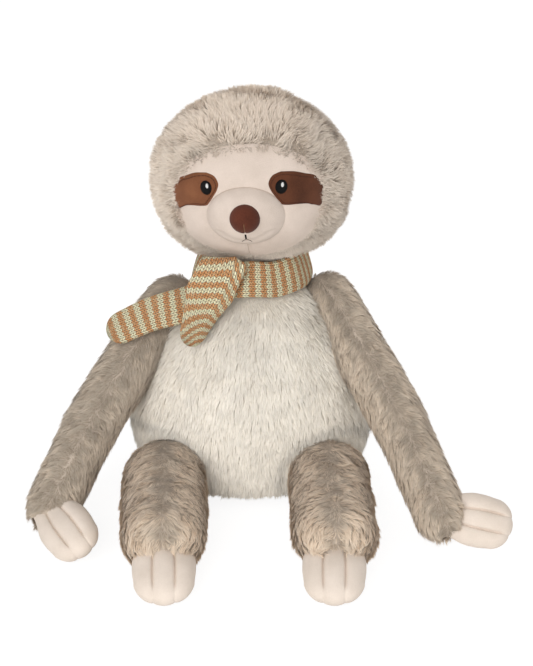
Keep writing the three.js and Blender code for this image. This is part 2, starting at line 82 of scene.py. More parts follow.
def add_lamp(name, place, size, power):
    """A soft square lamp that points at the middle of the toy."""
    data = bpy.data.lights.new(name, "AREA")
    data.size = size
    data.energy = power
    lamp = new_object(name, data)
    lamp.location = place
    lamp.rotation_euler = (camera_aim - Vector(place)).to_track_quat("-Z", "Y").to_euler()


add_lamp("key", (-0.60, -1.50, 0.85), 1.2, 19)
add_lamp("fill", (0.9, -1.3, 0.45), 1.2, 4)
add_lamp("back", (0.5, 1.5, 0.8), 1.4, 8)


def put(tree, node, inputs):
    """Gives the node its inputs, by name or place: plain values, or the outputs of other nodes."""
    for name, value in inputs.items():
        if isinstance(value, bpy.types.NodeSocket):
            tree.links.new(value, node.inputs[name])
        else:
            node.inputs[name].default_value = value
    return node


def add_node(tree, kind, inputs, **settings):
    """A new node of the kind, with its settings and its inputs."""
    node = tree.nodes.new(kind)
    for name, value in settings.items():
        setattr(node, name, value)
    return put(tree, node, inputs)


def show_camera(tree, lit, shown, end):
    """Lets one shader light the toy while the camera sees the other."""
    ray = add_node(tree, "ShaderNodeLightPath", {}).outputs["Is Camera Ray"]
    either = add_node(tree, "ShaderNodeMixShader", {0: ray, 1: lit.outputs[0], 2: shown.outputs[0]})
    put(tree, tree.nodes[end], {"Surface": either.outputs[0]})


room = bpy.data.worlds.new("room")
room.use_nodes = True
room_tree = room.node_tree
daylight = put(room_tree, room_tree.nodes["Background"], {"Color": (1, 0.985, 0.965, 1), "Strength": 0.48})
white = add_node(room_tree, "ShaderNodeBackground", {"Color": (1, 1, 1, 1)})
show_camera(room_tree, daylight, white, "World Output")
scene.world = room


def new_finish(name, values):
    """A material and its node tree, with these values on its shader's own sockets."""
    made = bpy.data.materials.new(name)
    made.use_nodes = True
    put(made.node_tree, made.node_tree.nodes["Principled BSDF"], values)
    return made, made.node_tree


floor_half = 9
floor_drop = 0.0006
floor_sides = (-1, -1), (1, -1), (1, 1), (-1, 1)
floor_corners = [(x * floor_half, y * floor_half, -floor_drop) for x, y in floor_sides]
floor_mesh = bpy.data.meshes.new("floor")
floor_mesh.from_pydata(floor_corners, [], [(0, 1, 2, 3)])
floor = new_object("floor", floor_mesh)
paper, paper_tree = new_finish("paper", {"Base Color": (0.93, 0.93, 0.93, 1), "Roughness": 0.9})
glow = add_node(paper_tree, "ShaderNodeEmission", {"Strength": 0.88})
shaded = add_node(paper_tree, "ShaderNodeBsdfDiffuse", {"Color": (0.24, 0.24, 0.24, 1)})
both = add_node(paper_tree, "ShaderNodeAddShader", {0: glow.outputs[0], 1: shaded.outputs[0]})
show_camera(paper_tree, paper_tree.nodes["Principled BSDF"], both, "Material Output")
floor_mesh.materials.append(paper)

# Body bag: two panels of pile cloth sewn at the sides, cream in front and taupe behind, stuffed with
# fibre and a pouch of pellets in the seat. Its outline runs from the middle of the seat to the neck.
body_axis = Vector((neck.x, neck.y, 0))
body_height = 0.166
body_half_width = 0.094
body_half_depth = 0.073
belly_lead = 0.014
chest_share = 0.36
cloth_inset = 0.0042
skin_floor = 0.0012
body_outline_shares = [
    (0, 0), (0.28, 0.0003), (0.58, 0.004), (0.84, 0.036), (0.965, 0.13), (1, 0.27), (0.985, 0.4),
    (0.93, 0.52), (0.83, 0.64), (0.7, 0.74), (0.57, 0.82), (0.46, 0.885), (0.36, 0.94), (0.2, 0.985), (0, 1),
]


def smooth_curve(knots, shares):
    """Points on the curve that passes evenly through the knots."""
    knots = np.array(knots, float)
    out = []
    for share in shares:
        at = min(share * (len(knots) - 1), len(knots) - 1 - 1e-9)
        i = int(at)
        t = at - i
        p0, p1 = knots[max(i - 1, 0)], knots[i]
        p2, p3 = knots[i + 1], knots[min(i + 2, len(knots) - 1)]
        bend = 2 * p0 - 5 * p1 + 4 * p2 - p3
        twist = 3 * p1 - p0 - 3 * p2 + p3
        out.append(0.5 * ((2 * p1) + (p2 - p0) * t + bend * t**2 + twist * t**3))
    return np.array(out)


def new_mesh(name, points, faces):
    mesh = bpy.data.meshes.new(name)
    mesh.from_pydata([tuple(p) for p in points], [], faces)
    mesh.shade_smooth()
    return mesh


def skin_mesh(name, rings):
    """A closed skin through rings of points, the first and last of which shrink to one point each."""
    count, around = rings.shape[:2]
    points = [rings[0].mean(axis=0)] + list(rings[1:-1].reshape(-1, 3)) + [rings[-1].mean(axis=0)]
    faces = []
    for j in range(around):
        k = (j + 1) % around
        faces.append((0, 1 + k, 1 + j))
        for i in range(count - 3):
            a = 1 + i * around
            faces.append((a + j, a + k, a + around + k, a + around + j))
        a = 1 + (count - 3) * around
        faces.append((a + j, a + k, len(points) - 1))
    return new_mesh(name, points, faces)


def full_turn(count):
    """Even steps once round, in radians."""
    return np.linspace(0, 2 * np.pi, count, endpoint=False)


def read_vectors(items, field):
    values = np.empty(len(items) * 3)
    items.foreach_get(field, values)
    return values.reshape(-1, 3)


def mesh_points(mesh):
    return read_vectors(mesh.vertices, "co")


def mesh_normals(mesh):
    return read_vectors(mesh.vertex_normals, "vector")


def move_points(mesh, points):
    mesh.vertices.foreach_set("co", points.ravel())
    mesh.update()


def set_values(mesh, name, values, kind="FLOAT"):
    held = mesh.attributes.new(name, kind, "POINT")
    field = "vector" if kind == "FLOAT_VECTOR" else "value"
    held.data.foreach_set(field, np.asarray(values, np.float32).ravel())


def waver(points, size, seed=0.0):
    """Smooth noise from -1 to 1 at each point, with lumps of that size."""
    return np.array([noise.noise(Vector(p) / size + Vector((seed, seed, seed))) for p in points])


def tossing(points, size, seed):
    """Smooth noise in three directions, which tosses the pile about."""
    return np.stack([waver(points, size, seed + k) for k in range(3)], axis=1)


def step(value, low, high):
    """A smooth rise from 0 at the low value to 1 at the high one."""
    t = np.clip((value - low) / (high - low), 0, 1)
    return t * t * (3 - 2 * t)


def bell(value, width):
    """A smooth hump: 1 where the value is 0, and next to nothing at twice the width."""
    return np.exp(-((value / width) ** 2))


def set_comb(mesh, flow, shade, curl, **naps):
    """Lays the pile along the flow on the skin; shade is its tone, curl its disorder and naps its lengths."""
    normals = mesh_normals(mesh)
    flow = flow - normals * (flow * normals).sum(axis=1, keepdims=True)
    set_values(mesh, "comb", flow, "FLOAT_VECTOR")
    set_values(mesh, "shade", shade)
    set_values(mesh, "curl", np.zeros(len(normals)) + curl)
    for name, nap in naps.items():
        set_values(mesh, name, nap)


body_lump_size = 0.045
body_lump_height = 0.0012
seat_lead = 0.007
seat_lead_heights = 0.002, 0.035
chest_heights = 0.62, 0.94
body_rows = 72
body_sides = 96
body_rings = []
for across, up in smooth_curve(body_outline_shares, np.linspace(0, 1, body_rows)):
    turns = full_turn(body_sides)
    deep = across * body_half_depth * (1 + chest_share * step(up, *chest_heights))
    ring = np.stack([
        across * body_half_width * np.cos(turns),
        deep * np.sin(turns) - belly_lead * (1 - up),
        np.full_like(turns, up * body_height),
    ], axis=1)
    body_rings.append(ring + np.array(body_axis))
body_mesh = skin_mesh("body_bag", np.array(body_rings))
body_points = mesh_points(body_mesh)
body_points -= mesh_normals(body_mesh) * cloth_inset
body_points += mesh_normals(body_mesh) * (waver(body_points, body_lump_size)[:, None] * body_lump_height)
body_points[:, 2] = np.maximum(body_points[:, 2], skin_floor)
in_front = body_points[:, 1] < body_axis.y
body_points[:, 1] -= seat_lead * (1 - step(body_points[:, 2], *seat_lead_heights)) * in_front
move_points(body_mesh, body_points)
body_bag = new_object("body_bag", body_mesh)

# The two panels' seam runs down the body's sides and round under the belly. The pile parts along it
# and lies flat under the scarf and the seat. Its tone has painted shade along the seam, under the chin
# and where the legs come close.
seam_back = 0.003
belly_hem = 0.009
belly_hem_depth = 0.046
belly_seam_rise = 0.052
seam_comb_width = 0.012
seam_bare_width = 0.0035
body_seam_shade_width = 0.004
wrap_heights = 0.139, 0.150
pressed_heights = 0.001, 0.010
body_toss_size = 0.022
body_blotch_size = 0.012
body_streak_size = 0.006
chin_shade_height = 0.122
chin_shade_half_width = 0.022
chin_shade_half_height = 0.024
leg_half_width = 0.0325
leg_half_height = 0.0265
leg_shade_share = 1.08
leg_shade_width = 0.11
from_axis = body_points - np.array(body_axis)
height = from_axis[:, 2]
low = np.clip((belly_seam_rise - height) / (belly_seam_rise - belly_hem), 0, 1)
seam_line = -seam_back - (belly_hem_depth - seam_back) * (1 - np.sqrt(np.clip(1 - low**2, 0, 1)))
before_seam = seam_line - from_axis[:, 1]
before_seam = np.where(height < belly_hem, -0.01, before_seam)
under_wrap = step(height, *wrap_heights)
on_floor = 1 - step(height, *pressed_heights)
body_down = np.tile([0, 0, -1.0], (len(body_points), 1))
body_part = np.zeros_like(body_down)
body_part[:, 1] = -np.sign(before_seam) * bell(before_seam, seam_comb_width) * 0.8
parted = 1 - 0.45 * bell(before_seam, seam_bare_width)
bare = (1 - 0.75 * under_wrap) * (1 - 0.7 * on_floor) * parted
lean = tossing(body_points, body_toss_size, 41) * 0.3
body_shade = 0.2 + 0.12 * waver(body_points, body_blotch_size, 44)
# Painted shade along the side seam, where the arms lie against the belly.
body_shade = body_shade - 0.25 * bell(before_seam, body_seam_shade_width)
body_shade += 0.22 * waver(body_points * (0.3, 0.3, 1), body_streak_size, 45)
# Painted shade on the belly's pile under the chin.
chin_shade = bell(from_axis[:, 0], chin_shade_half_width)
body_shade -= 0.4 * chin_shade * bell(height - chin_shade_height, chin_shade_half_height)
# Painted shade on the belly's pile along the tops of the legs, where they meet it.
for side in ("left", "right"):
    hip, ankle = (np.array(joint_at[f"{side}_{name}"]) for name in ("hip", "ankle"))
    down_leg = (ankle - hip) / np.linalg.norm(ankle - hip)
    from_leg = body_points - hip
    from_leg -= np.outer(from_leg @ down_leg, down_leg)
    off_leg = np.hypot(from_leg[:, 0] / leg_half_width, from_leg[:, 2] / leg_half_height)
    body_shade -= 0.9 * bell(off_leg - leg_shade_share, leg_shade_width)
set_comb(
    body_mesh, body_down * 0.85 + body_part + lean, body_shade, 1,
    nap=bare * (before_seam > 0), nap_back=bare * (before_seam <= 0),
)


def pattern(tree, kind, **sizes):
    """A noise or wave in a material, laid out by the piece's own coordinates."""
    place = add_node(tree, "ShaderNodeTexCoord", {})
    return add_node(tree, kind, {"Vector": place.outputs["Object"], **sizes}).outputs["Fac"]


def colour_by(tree, amount, dark, pale, ends=(0, 1)):
    """Colours the material from dark to pale as the amount goes from end to end."""
    ramp = add_node(tree, "ShaderNodeValToRGB", {"Fac": amount})
    for stop, place, colour in zip(ramp.color_ramp.elements, ends, (dark, pale)):
        stop.position = place
        stop.color = (*colour, 1)
    put(tree, tree.nodes["Principled BSDF"], {"Base Color": ramp.outputs["Color"]})


def raise_by(tree, height, **sizes):
    """Gives the material the fine relief of the height."""
    bump = add_node(tree, "ShaderNodeBump", {"Height": height, **sizes})
    put(tree, tree.nodes["Principled BSDF"], {"Normal": bump.outputs["Normal"]})


def pile_backing(name, colour):
    """The knitted ground that the pile grows from, coloured darker than the pile's tips as painted shade
    between the tufts.
    """
    made, tree = new_finish(name, {"Roughness": 0.95})
    grain = pattern(tree, "ShaderNodeTexNoise", Scale=420)
    colour_by(tree, grain, [c * 0.75 for c in colour], [c * 0.95 for c in colour])
    raise_by(tree, grain, Distance=0.0006)
    return made


def pile_material(name, root, middle, tip):
    """Pile fibres: darker towards their roots as painted shade deep in the pile, pale at the tips, with a
    tone of their own for each fibre.
    """
    made, tree = new_finish(name, {
        "Roughness": 0.75, "Specular IOR Level": 0.15, "Sheen Weight": 0.25, "Sheen Roughness": 0.5,
    })
    up = add_node(tree, "ShaderNodeAttribute", {}, attribute_name="up").outputs["Fac"]
    tone = add_node(tree, "ShaderNodeAttribute", {}, attribute_name="tone").outputs["Fac"]
    ramp = add_node(tree, "ShaderNodeValToRGB", {"Fac": up})
    stops = ramp.color_ramp.elements
    stops[0].color, stops[1].color = (*root, 1), (*tip, 1)
    stops.new(0.45).color = (*middle, 1)
    # The tone carries the fibre's own tone together with the painted light and shade laid on its skin.
    darkest, palest = 0.54, 1.1
    spanning = {"Value": tone, "From Min": -1, "To Min": darkest, "To Max": palest}
    span = add_node(tree, "ShaderNodeMapRange", spanning)
    tinting = {0: ramp.outputs["Color"], "Scale": span.outputs["Result"]}
    tinted = add_node(tree, "ShaderNodeVectorMath", tinting, operation="SCALE")
    put(tree, tree.nodes["Principled BSDF"], {"Base Color": tinted.outputs["Vector"]})
    return made


strand_points = [(0, 0, 0), (-0.5, 0.42, 0.58), (0.5, 0.42, 0.58), (0, 1, 1)]
strand_mesh = new_mesh("strand", strand_points, [(0, 2, 1), (1, 2, 3)])
set_values(strand_mesh, "up", [0, 0.5, 0.5, 1])
strand = bpy.data.objects.new("strand", strand_mesh)


def add_maths(tree, operation, *values):
    """The result of one maths operation on the values."""
    return add_node(tree, "ShaderNodeMath", dict(enumerate(values)), operation=operation).outputs[0]


def pile_tree():
    """Grows tufted pile on a skin: fibres that lean along the comb and close up towards their tuft's tip."""
    tree = bpy.data.node_groups.new("pile", "GeometryNodeTree")
    sockets = [("Geometry", "Geometry"), ("Nap", "String")]
    sockets += [(name, "Float") for name in ("Length", "Width", "Spacing", "Tuft", "Pull", "Stand", "Ruffle")]
    sockets += [("Seed", "Int"), ("Strand", "Object"), ("Material", "Material")]
    for name, kind in sockets:
        tree.interface.new_socket(name, in_out="INPUT", socket_type=f"NodeSocket{kind}")
    tree.interface.new_socket("Geometry", in_out="OUTPUT", socket_type="NodeSocketGeometry")
    given = tree.nodes.new("NodeGroupInput").outputs
    maths = partial(add_maths, tree)

    def vector(operation, *values):
        node = add_node(tree, "ShaderNodeVectorMath", dict(enumerate(values)), operation=operation)
        return node.outputs["Value" if operation in ("DOT_PRODUCT", "LENGTH") else "Vector"]

    def scaled(value, by):
        node = add_node(tree, "ShaderNodeVectorMath", {0: value, "Scale": by}, operation="SCALE")
        return node.outputs["Vector"]

    def named(name, kind):
        node = add_node(tree, "GeometryNodeInputNamedAttribute", {"Name": name}, data_type=kind)
        return node.outputs["Attribute"]

    def chance(kind, low, high, seed):
        """A number or vector between the two, drawn for each point."""
        first, result = {"FLOAT_VECTOR": (0, 0), "FLOAT": (2, 1)}[kind]
        inputs = {first: low, first + 1: high, "Seed": seed}
        return add_node(tree, "FunctionNodeRandomValue", inputs, data_type=kind).outputs[result]

    def spread_out(gap):
        """Points all over the skin where it has nap, none nearer to another than the gap."""
        inputs = {
            "Mesh": given["Geometry"],
            "Distance Min": gap,
            "Density Max": maths("DIVIDE", 2.0, maths("MULTIPLY", gap, gap)),
            "Seed": given["Seed"],
            "Selection": maths("GREATER_THAN", named(given["Nap"], "FLOAT"), 0.05),
        }
        node = add_node(tree, "GeometryNodeDistributePointsOnFaces", inputs, distribute_method="POISSON")
        return node.outputs["Points"], node.outputs["Normal"]

    centres, centre_normal = spread_out(given["Tuft"])
    points, normal = spread_out(given["Spacing"])
    position = add_node(tree, "GeometryNodeInputPosition", {}).outputs[0]
    nearest = add_node(tree, "GeometryNodeSampleNearest", {"Geometry": centres}, domain="POINT")

    def of_tuft(value, kind):
        """The value at the middle of the fibre's tuft."""
        inputs = {"Geometry": centres, "Value": value, "Index": nearest.outputs["Index"]}
        node = add_node(tree, "GeometryNodeSampleIndex", inputs, data_type=kind, domain="POINT")
        return node.outputs["Value"]

    any_way = (-1.0, -1.0, -1.0), (1.0, 1.0, 1.0)
    comb = named("comb", "FLOAT_VECTOR")

    def tip_of(at, out, seed, ruffle):
        """Where a fibre's tip comes to lie: out along the comb, tossed by the ruffle."""
        lean = vector("ADD", comb, scaled(chance("FLOAT_VECTOR", *any_way, seed), ruffle))
        way = vector("NORMALIZE", vector("ADD", scaled(out, given["Stand"]), lean))
        return vector("ADD", at, scaled(way, given["Length"]))

    ruffle = maths("MULTIPLY", given["Ruffle"], named("curl", "FLOAT"))
    own_tip = tip_of(position, normal, 5, maths("MULTIPLY", ruffle, 0.4))
    tuft_tip = of_tuft(tip_of(position, centre_normal, 9, ruffle), "FLOAT_VECTOR")
    tips = {"Factor": given["Pull"], 4: own_tip, 5: tuft_tip}
    tip = add_node(tree, "ShaderNodeMix", tips, data_type="VECTOR").outputs[1]
    way = vector("NORMALIZE", vector("SUBTRACT", tip, position))
    own_length = maths("MULTIPLY", given["Length"], chance("FLOAT", 0.75, 1.08, 13))
    reach = scaled(way, maths("MULTIPLY", own_length, named(given["Nap"], "FLOAT")))
    rise = vector("DOT_PRODUCT", reach, normal)
    rise = maths("MAXIMUM", rise, maths("MULTIPLY", given["Length"], 0.12))
    run = vector("LENGTH", vector("SUBTRACT", reach, scaled(normal, vector("DOT_PRODUCT", reach, normal))))
    width = maths("MULTIPLY", given["Width"], chance("FLOAT", 0.6, 1.2, 17))
    size = add_node(tree, "ShaderNodeCombineXYZ", {0: width, 1: run, 2: rise})
    roll = scaled(vector("CROSS_PRODUCT", normal, way), chance("FLOAT", -0.35, 0.35, 15))
    rolled = vector("NORMALIZE", vector("ADD", normal, roll))
    axes = {"Primary Axis": rolled, "Secondary Axis": way}
    turn = add_node(tree, "FunctionNodeAxesToRotation", axes, primary_axis="Z", secondary_axis="Y")
    own_tone = maths("ADD", chance("FLOAT", 0.0, 0.35, 21), named("shade", "FLOAT"))
    tuft_tone = of_tuft(chance("FLOAT", 0.0, 0.25, 23), "FLOAT")
    tones = {"Geometry": points, "Name": "tone", "Value": maths("ADD", own_tone, tuft_tone)}
    toned = add_node(tree, "GeometryNodeStoreNamedAttribute", tones, data_type="FLOAT")
    shelf = add_node(tree, "GeometryNodeObjectInfo", {"Object": given["Strand"]})
    planted = add_node(tree, "GeometryNodeInstanceOnPoints", {
        "Points": toned.outputs["Geometry"], "Instance": shelf.outputs["Geometry"],
        "Rotation": turn.outputs[0], "Scale": size.outputs[0],
    })
    real = add_node(tree, "GeometryNodeRealizeInstances", {0: planted.outputs[0]})
    coating = {"Geometry": real.outputs[0], "Material": given["Material"]}
    coat = add_node(tree, "GeometryNodeSetMaterial", coating)
    add_node(tree, "NodeGroupOutput", {"Geometry": coat.outputs[0]})
    return tree


pile = pile_tree()


def grow_pile(name, skin, material, seed, nap="nap", **sizes):
    """A pile piece of its own, grown on the skin and then made plain mesh."""
    bed = new_object(f"{name}_bed", skin)
    grower = bed.modifiers.new("pile", "NODES")
    grower.node_group = pile
    given = {"Nap": nap, "Seed": seed, "Strand": strand, "Material": material}
    given.update(Length=0.0078, Width=0.00065, Spacing=0.00058, Tuft=0.0036, Pull=0.3, Stand=0.3, Ruffle=0.3)
    given.update(sizes)
    for item in pile.interface.items_tree:
        if item.in_out == "INPUT" and item.name in given:
            grower[item.identifier] = given[item.name]
    graph = bpy.context.evaluated_depsgraph_get()
    mesh = bpy.data.meshes.new_from_object(bed.evaluated_get(graph))
    mesh.name = name
    bpy.data.objects.remove(bed)
    return new_object(name, mesh)


def fit(piece, body, slot, *nodes):
    """Fixes the piece to its body and in place of its solids. The slot is not used."""
    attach(piece, body)
    if nodes:
        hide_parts(*nodes)
    return piece


# Each pile's roots are darker than its tips: painted shade deep in the pile.
taupe_pile = pile_material("taupe_pile", (0.40, 0.31, 0.23), (0.74, 0.61, 0.475), (0.93, 0.81, 0.67))
cream_pile = pile_material("cream_pile", (0.90, 0.83, 0.73), (0.975, 0.915, 0.815), (1.0, 0.96, 0.88))
# The hood's pile is a paler copy of the taupe pile: painted light on the head.
lit_hood_pile = pile_material("lit_hood_pile", (0.55, 0.46, 0.37), (0.78, 0.67, 0.56), (0.94, 0.84, 0.735))
taupe_backing = pile_backing("taupe_backing", (0.62, 0.52, 0.425))
cream_backing = pile_backing("cream_backing", (0.92, 0.86, 0.77))
body_mesh.materials.append(taupe_backing)
body_mesh.materials.append(cream_backing)
for face in body_mesh.polygons:
    face.material_index = int(all(before_seam[v] > 0 for v in face.vertices))
fit(body_bag, "body", "fur", "belly_panel", "back_panel", "body_stuffing", "pellet_pouch")
fit(grow_pile("belly_pile", body_mesh, cream_pile, 3), "body", "belly")
fit(grow_pile("back_pile", body_mesh, taupe_pile, 4, "nap_back"), "body", "fur")

# Arms and legs: tubes of the same taupe pile cloth, stuffed, each with one lengthwise seam along which
# the pile parts. Each has a round end at its root, in the body's seam.
sleeve_sides = 56
root_rows = 9
sleeve_rows = 44
end_rows = 12
sleeve_lump_size = 0.03
sleeve_lump_height = 0.0016
sleeve_seam_bare_width = 0.003
sleeve_seam_shade_width = 0.0045
sleeve_seam_tossed_width = 0.013
sleeve_seam_blotch_size = 0.0055
sleeve_toss_size = 0.010
sleeve_blotch_size = 0.014
sleeve_flank_light = 0.016, 0.036
sleeve_pressed_heights = 0.001, 0.009
sleeve_root_shares = -0.1, 0.08
sleeve_end_shares = 0.94, 1.08
body_shade_width = 0.07


def limb_path(root, bend, end, count=60):
    """Places and directions along a bent limb, at even steps of its length."""
    shares = np.linspace(0, 1, 400)[:, None]
    root, bend, end = (np.array(p) for p in (root, bend, end))
    line = (1 - shares) ** 2 * root + 2 * shares * (1 - shares) * bend + shares**2 * end
    steps = np.concatenate([[0], np.cumsum(np.linalg.norm(np.diff(line, axis=0), axis=1))])
    wanted = np.linspace(0, steps[-1], count)
    places = np.stack([np.interp(wanted, steps, line[:, k]) for k in range(3)], axis=1)
    ways = np.gradient(places, axis=0)
    return places, ways / np.linalg.norm(ways, axis=1, keepdims=True), steps[-1]


def limb_skin(name, root, bend, end, radii, wide, seam_turn, cuff, blunt):
    """A stuffed tube with round ends, and pile combed down it and away from its seam."""
    places, ways, length = limb_path(root, bend, end)
    root_radius, end_radius = (r - cloth_inset for r in radii)
    across_root, across_end = (r * wide - cloth_inset for r in radii)
    rings, flows, seams, shares = [], [], [], []
    root_angles = np.linspace(0, math.pi / 2, root_rows)
    stations = [(-math.cos(a) * root_radius, math.sin(a), 0) for a in root_angles]
    stations += [(s * length, 1.0, s) for s in np.linspace(0, 1, sleeve_rows)[1:-1]]
    stations += [
        (length + math.cos(a) * (end_radius + cuff), math.sin(a) ** blunt, 1)
        for a in np.linspace(math.pi / 2, 0, end_rows)
    ]
    turns = full_turn(sleeve_sides)
    for reach, round_share, share in stations:
        at = np.clip(reach / length, 0, 1) * (len(places) - 1)
        i = int(min(at, len(places) - 2))
        place = places[i] + (places[i + 1] - places[i]) * (at - i)
        way = ways[i] + (ways[i + 1] - ways[i]) * (at - i)
        way /= np.linalg.norm(way)
        place = place + way * (reach - np.clip(reach / length, 0, 1) * length)
        sideways = np.cross(way, (0, 0, 1.0))
        sideways /= np.linalg.norm(sideways)
        over = np.cross(sideways, way)
        thick = (root_radius + (end_radius - root_radius) * share) * round_share
        broad = (across_root + (across_end - across_root) * share) * round_share
        ring = place + np.outer(np.sin(turns) * broad, sideways) + np.outer(np.cos(turns) * thick, over)
        rings.append(ring)
        off_seam = (turns - seam_turn + np.pi) % (2 * np.pi) - np.pi
        apart = np.outer(np.cos(turns), sideways) - np.outer(np.sin(turns), over)
        aside = np.sign(off_seam) * bell(off_seam, 0.8)
        flows.append(way[None, :] * 0.75 + apart * aside[:, None] * 0.9)
        seams.append(off_seam * thick)
        shares.append(np.full_like(turns, reach / length))
    mesh = skin_mesh(name, np.array(rings))

    def per_point(values):
        values = np.array(values)
        middle = values[1:-1].reshape((-1,) + values.shape[2:])
        return np.concatenate([values[0, :1], middle, values[-1, :1]])

    return mesh, per_point(flows), per_point(seams), per_point(shares)


def out_of_body(points):
    """How far out of the body's axis the points are, as shares of its outline."""
    up = np.clip((points[:, 2]) / body_height, 0, 1)
    knots = np.array(smooth_curve(body_outline_shares, np.linspace(0, 1, 300)))
    order = np.argsort(knots[:, 1])
    round_share = np.interp(up, knots[order, 1], knots[order, 0])
    x = (points[:, 0] - body_axis.x) / (body_half_width * round_share + 1e-6)
    y = (points[:, 1] - body_axis.y + belly_lead * (1 - up)) / (body_half_depth * round_share + 1e-6)
    return np.hypot(x, y)


def outside_mitt(points, wrist, mitt):
    """No pile grows where the mitt leaves the sleeve."""
    root, along, sideways, over, length = mitt_axes(wrist, mitt)
    from_root = points - root
    aside = from_root @ sideways / (mitt["half_width"] * 0.8)
    above = from_root @ over / (mitt["half_thick"] * 0.75)
    return 1.0 - (np.hypot(aside, above) < 1) * (from_root @ along > 0)


def mitt_axes(wrist, mitt):
    """A mitt's root and its own directions: to its fingertips, to its side and out of its back."""
    root = np.array(wrist) + mitt["shift"]
    turn = math.radians(mitt["turn"])
    fore, across = -mitt["reach"] * math.cos(turn), mitt["reach"] * math.sin(turn)
    reached = np.array([across, fore, mitt["tip_height"] - root[2]])
    length = np.linalg.norm(reached)
    along = reached / length
    sideways = np.cross(along, mitt["facing"])
    sideways /= np.linalg.norm(sideways)
    return root, along, sideways, np.cross(sideways, along), length


def add_limb(name, root, bend, end, mitt, seed, tone, make, seam_turn=0, rise=0):
    """A sleeve and its pile; the tone is its painted light as a whole, and rise lifts its root."""
    mesh, flow, seam, share = limb_skin(f"{name}_bag", root, bend, end, seam_turn=seam_turn, **make)
    points = mesh_points(mesh)
    points += mesh_normals(mesh) * (waver(points, sleeve_lump_size, seed)[:, None] * sleeve_lump_height)
    points[:, 2] += rise * bell(share, 0.2)
    points[:, 2] = np.maximum(points[:, 2], skin_floor)
    move_points(mesh, points)
    near_seam = bell(seam, sleeve_seam_tossed_width)
    flow = flow + tossing(points, sleeve_toss_size, seed + 1) * (0.3 + 0.9 * near_seam)[:, None]
    nap = 1 - 0.25 * bell(seam, sleeve_seam_bare_width)
    nap = nap * (1 + (1 - make["blunt"]) * 0.7 * step(share, *sleeve_end_shares))
    pressed = 1 - step(points[:, 2], *sleeve_pressed_heights)
    nap *= (1 - 0.8 * pressed) * (0.6 + 0.4 * step(share, *sleeve_root_shares))
    out = out_of_body(points)
    nap *= (out > 0.55) * outside_mitt(points, end, mitt)
    shade = tone + 0.15 * waver(points, sleeve_blotch_size, seed)
    # Painted shade in the parted pile along the seam, in blotches between the tufts.
    shade = shade - near_seam * (0.45 + 1.4 * waver(points, sleeve_seam_blotch_size, seed + 5))
    # Painted shade: a dark line down the seam, and where the sleeve meets the body.
    shade -= 0.9 * bell(seam, sleeve_seam_shade_width) + 0.7 * bell(out - 1.0, body_shade_width)
    # Painted light: paler pile on the flanks, away from the seam, where the light catches the tips.
    shade += 0.5 * step(np.abs(seam), *sleeve_flank_light)
    set_comb(mesh, flow, shade, 0.25 + 1.2 * near_seam, nap=nap)
    mesh.materials.append(taupe_backing)
    bag = fit(new_object(f"{name}_bag", mesh), name, "fur", f"{name}_sleeve", f"{name}_stuffing")
    coat = grow_pile(
        f"{name}_pile", mesh, taupe_pile, seed,
        Length=0.0070, Width=0.0006, Tuft=0.0034, Pull=0.38, Ruffle=0.5, Stand=0.25,
    )
    fit(coat, name, "fur")


arm_make = {"radii": (0.0245, 0.0215), "wide": 1, "cuff": 0.001, "blunt": 0.85}
leg_make = {"radii": (0.0265, 0.0265), "wide": 32.5 / 26.5, "cuff": 0.005, "blunt": 0.55}
left_elbow = joint_at["left_shoulder"] + Vector((-0.047, -0.053, -0.039))
right_elbow = joint_at["right_shoulder"] + Vector((0.042, -0.055, -0.035))
hand = {"shift": (0, 0, 0), "half_width": 0.019, "half_thick": 0.0105}
foot = {**hand, "half_width": 0.0215, "reach": 0.063, "tip_height": 0.010, "facing": (0, 0, 1)}
mitts = {
    "left_hand": {**hand, "turn": 31, "shift": (-0.004, -0.003, 0), "facing": (-0.5, 0, 0.866)},
    "right_hand": {**hand, "turn": 80, "facing": (0, -0.766, 0.643)},
    "left_foot": {**foot, "turn": 3},
    "right_foot": {**foot, "turn": -2},
}
mitts["left_hand"].update(reach=0.060, tip_height=0.013)
mitts["right_hand"].update(reach=0.052, tip_height=0.0135)
# Each limb's tone is painted light: the left arm darker than the right, and the legs paler than the arms.
for side, elbow, seam_turn, seed, tone, rise in (
    ("left", left_elbow, -0.45, 11, -0.55, 0.002), ("right", right_elbow, 0.4, 12, -0.1, 0.0045),
):
    shoulder, wrist, mitt = joint_at[f"{side}_shoulder"], joint_at[f"{side}_wrist"], mitts[f"{side}_hand"]
    add_limb(f"{side}_arm", shoulder, elbow, wrist, mitt, seed, tone, arm_make, seam_turn, rise)
for side, seed, tone in (("left", 13, 0.8), ("right", 14, 1.05)):
    hip, ankle, mitt = joint_at[f"{side}_hip"], joint_at[f"{side}_ankle"], mitts[f"{side}_foot"]
    add_limb(f"{side}_leg", hip, (hip + ankle) / 2, ankle, mitt, seed, tone, leg_make)

# Mitts: flat bags of short cream velour, each with two lines of stitching that part it into three
# fingers. The hands lie on the floor palm down, and the feet lie in front of the legs.
mitt_sides = 192
mitt_rows = 72
stitch_across = 0.35
outer_finger_middle = 0.675
outer_finger_half = 0.325
mitt_floor = 0.0003
fingertip_shares = 0.82, 0.97
palm_wide_shares = 0.05, 0.6
palm_thick_shares = 0.15, 0.6
taper_shares = 0.7, 1
mitt_roundness = 0.30
fingertip_roundness = 0.022
fingertip_taper = 0.06
fingertip_puff = 0.7
channel_width = 0.022
channel_depth = 0.22


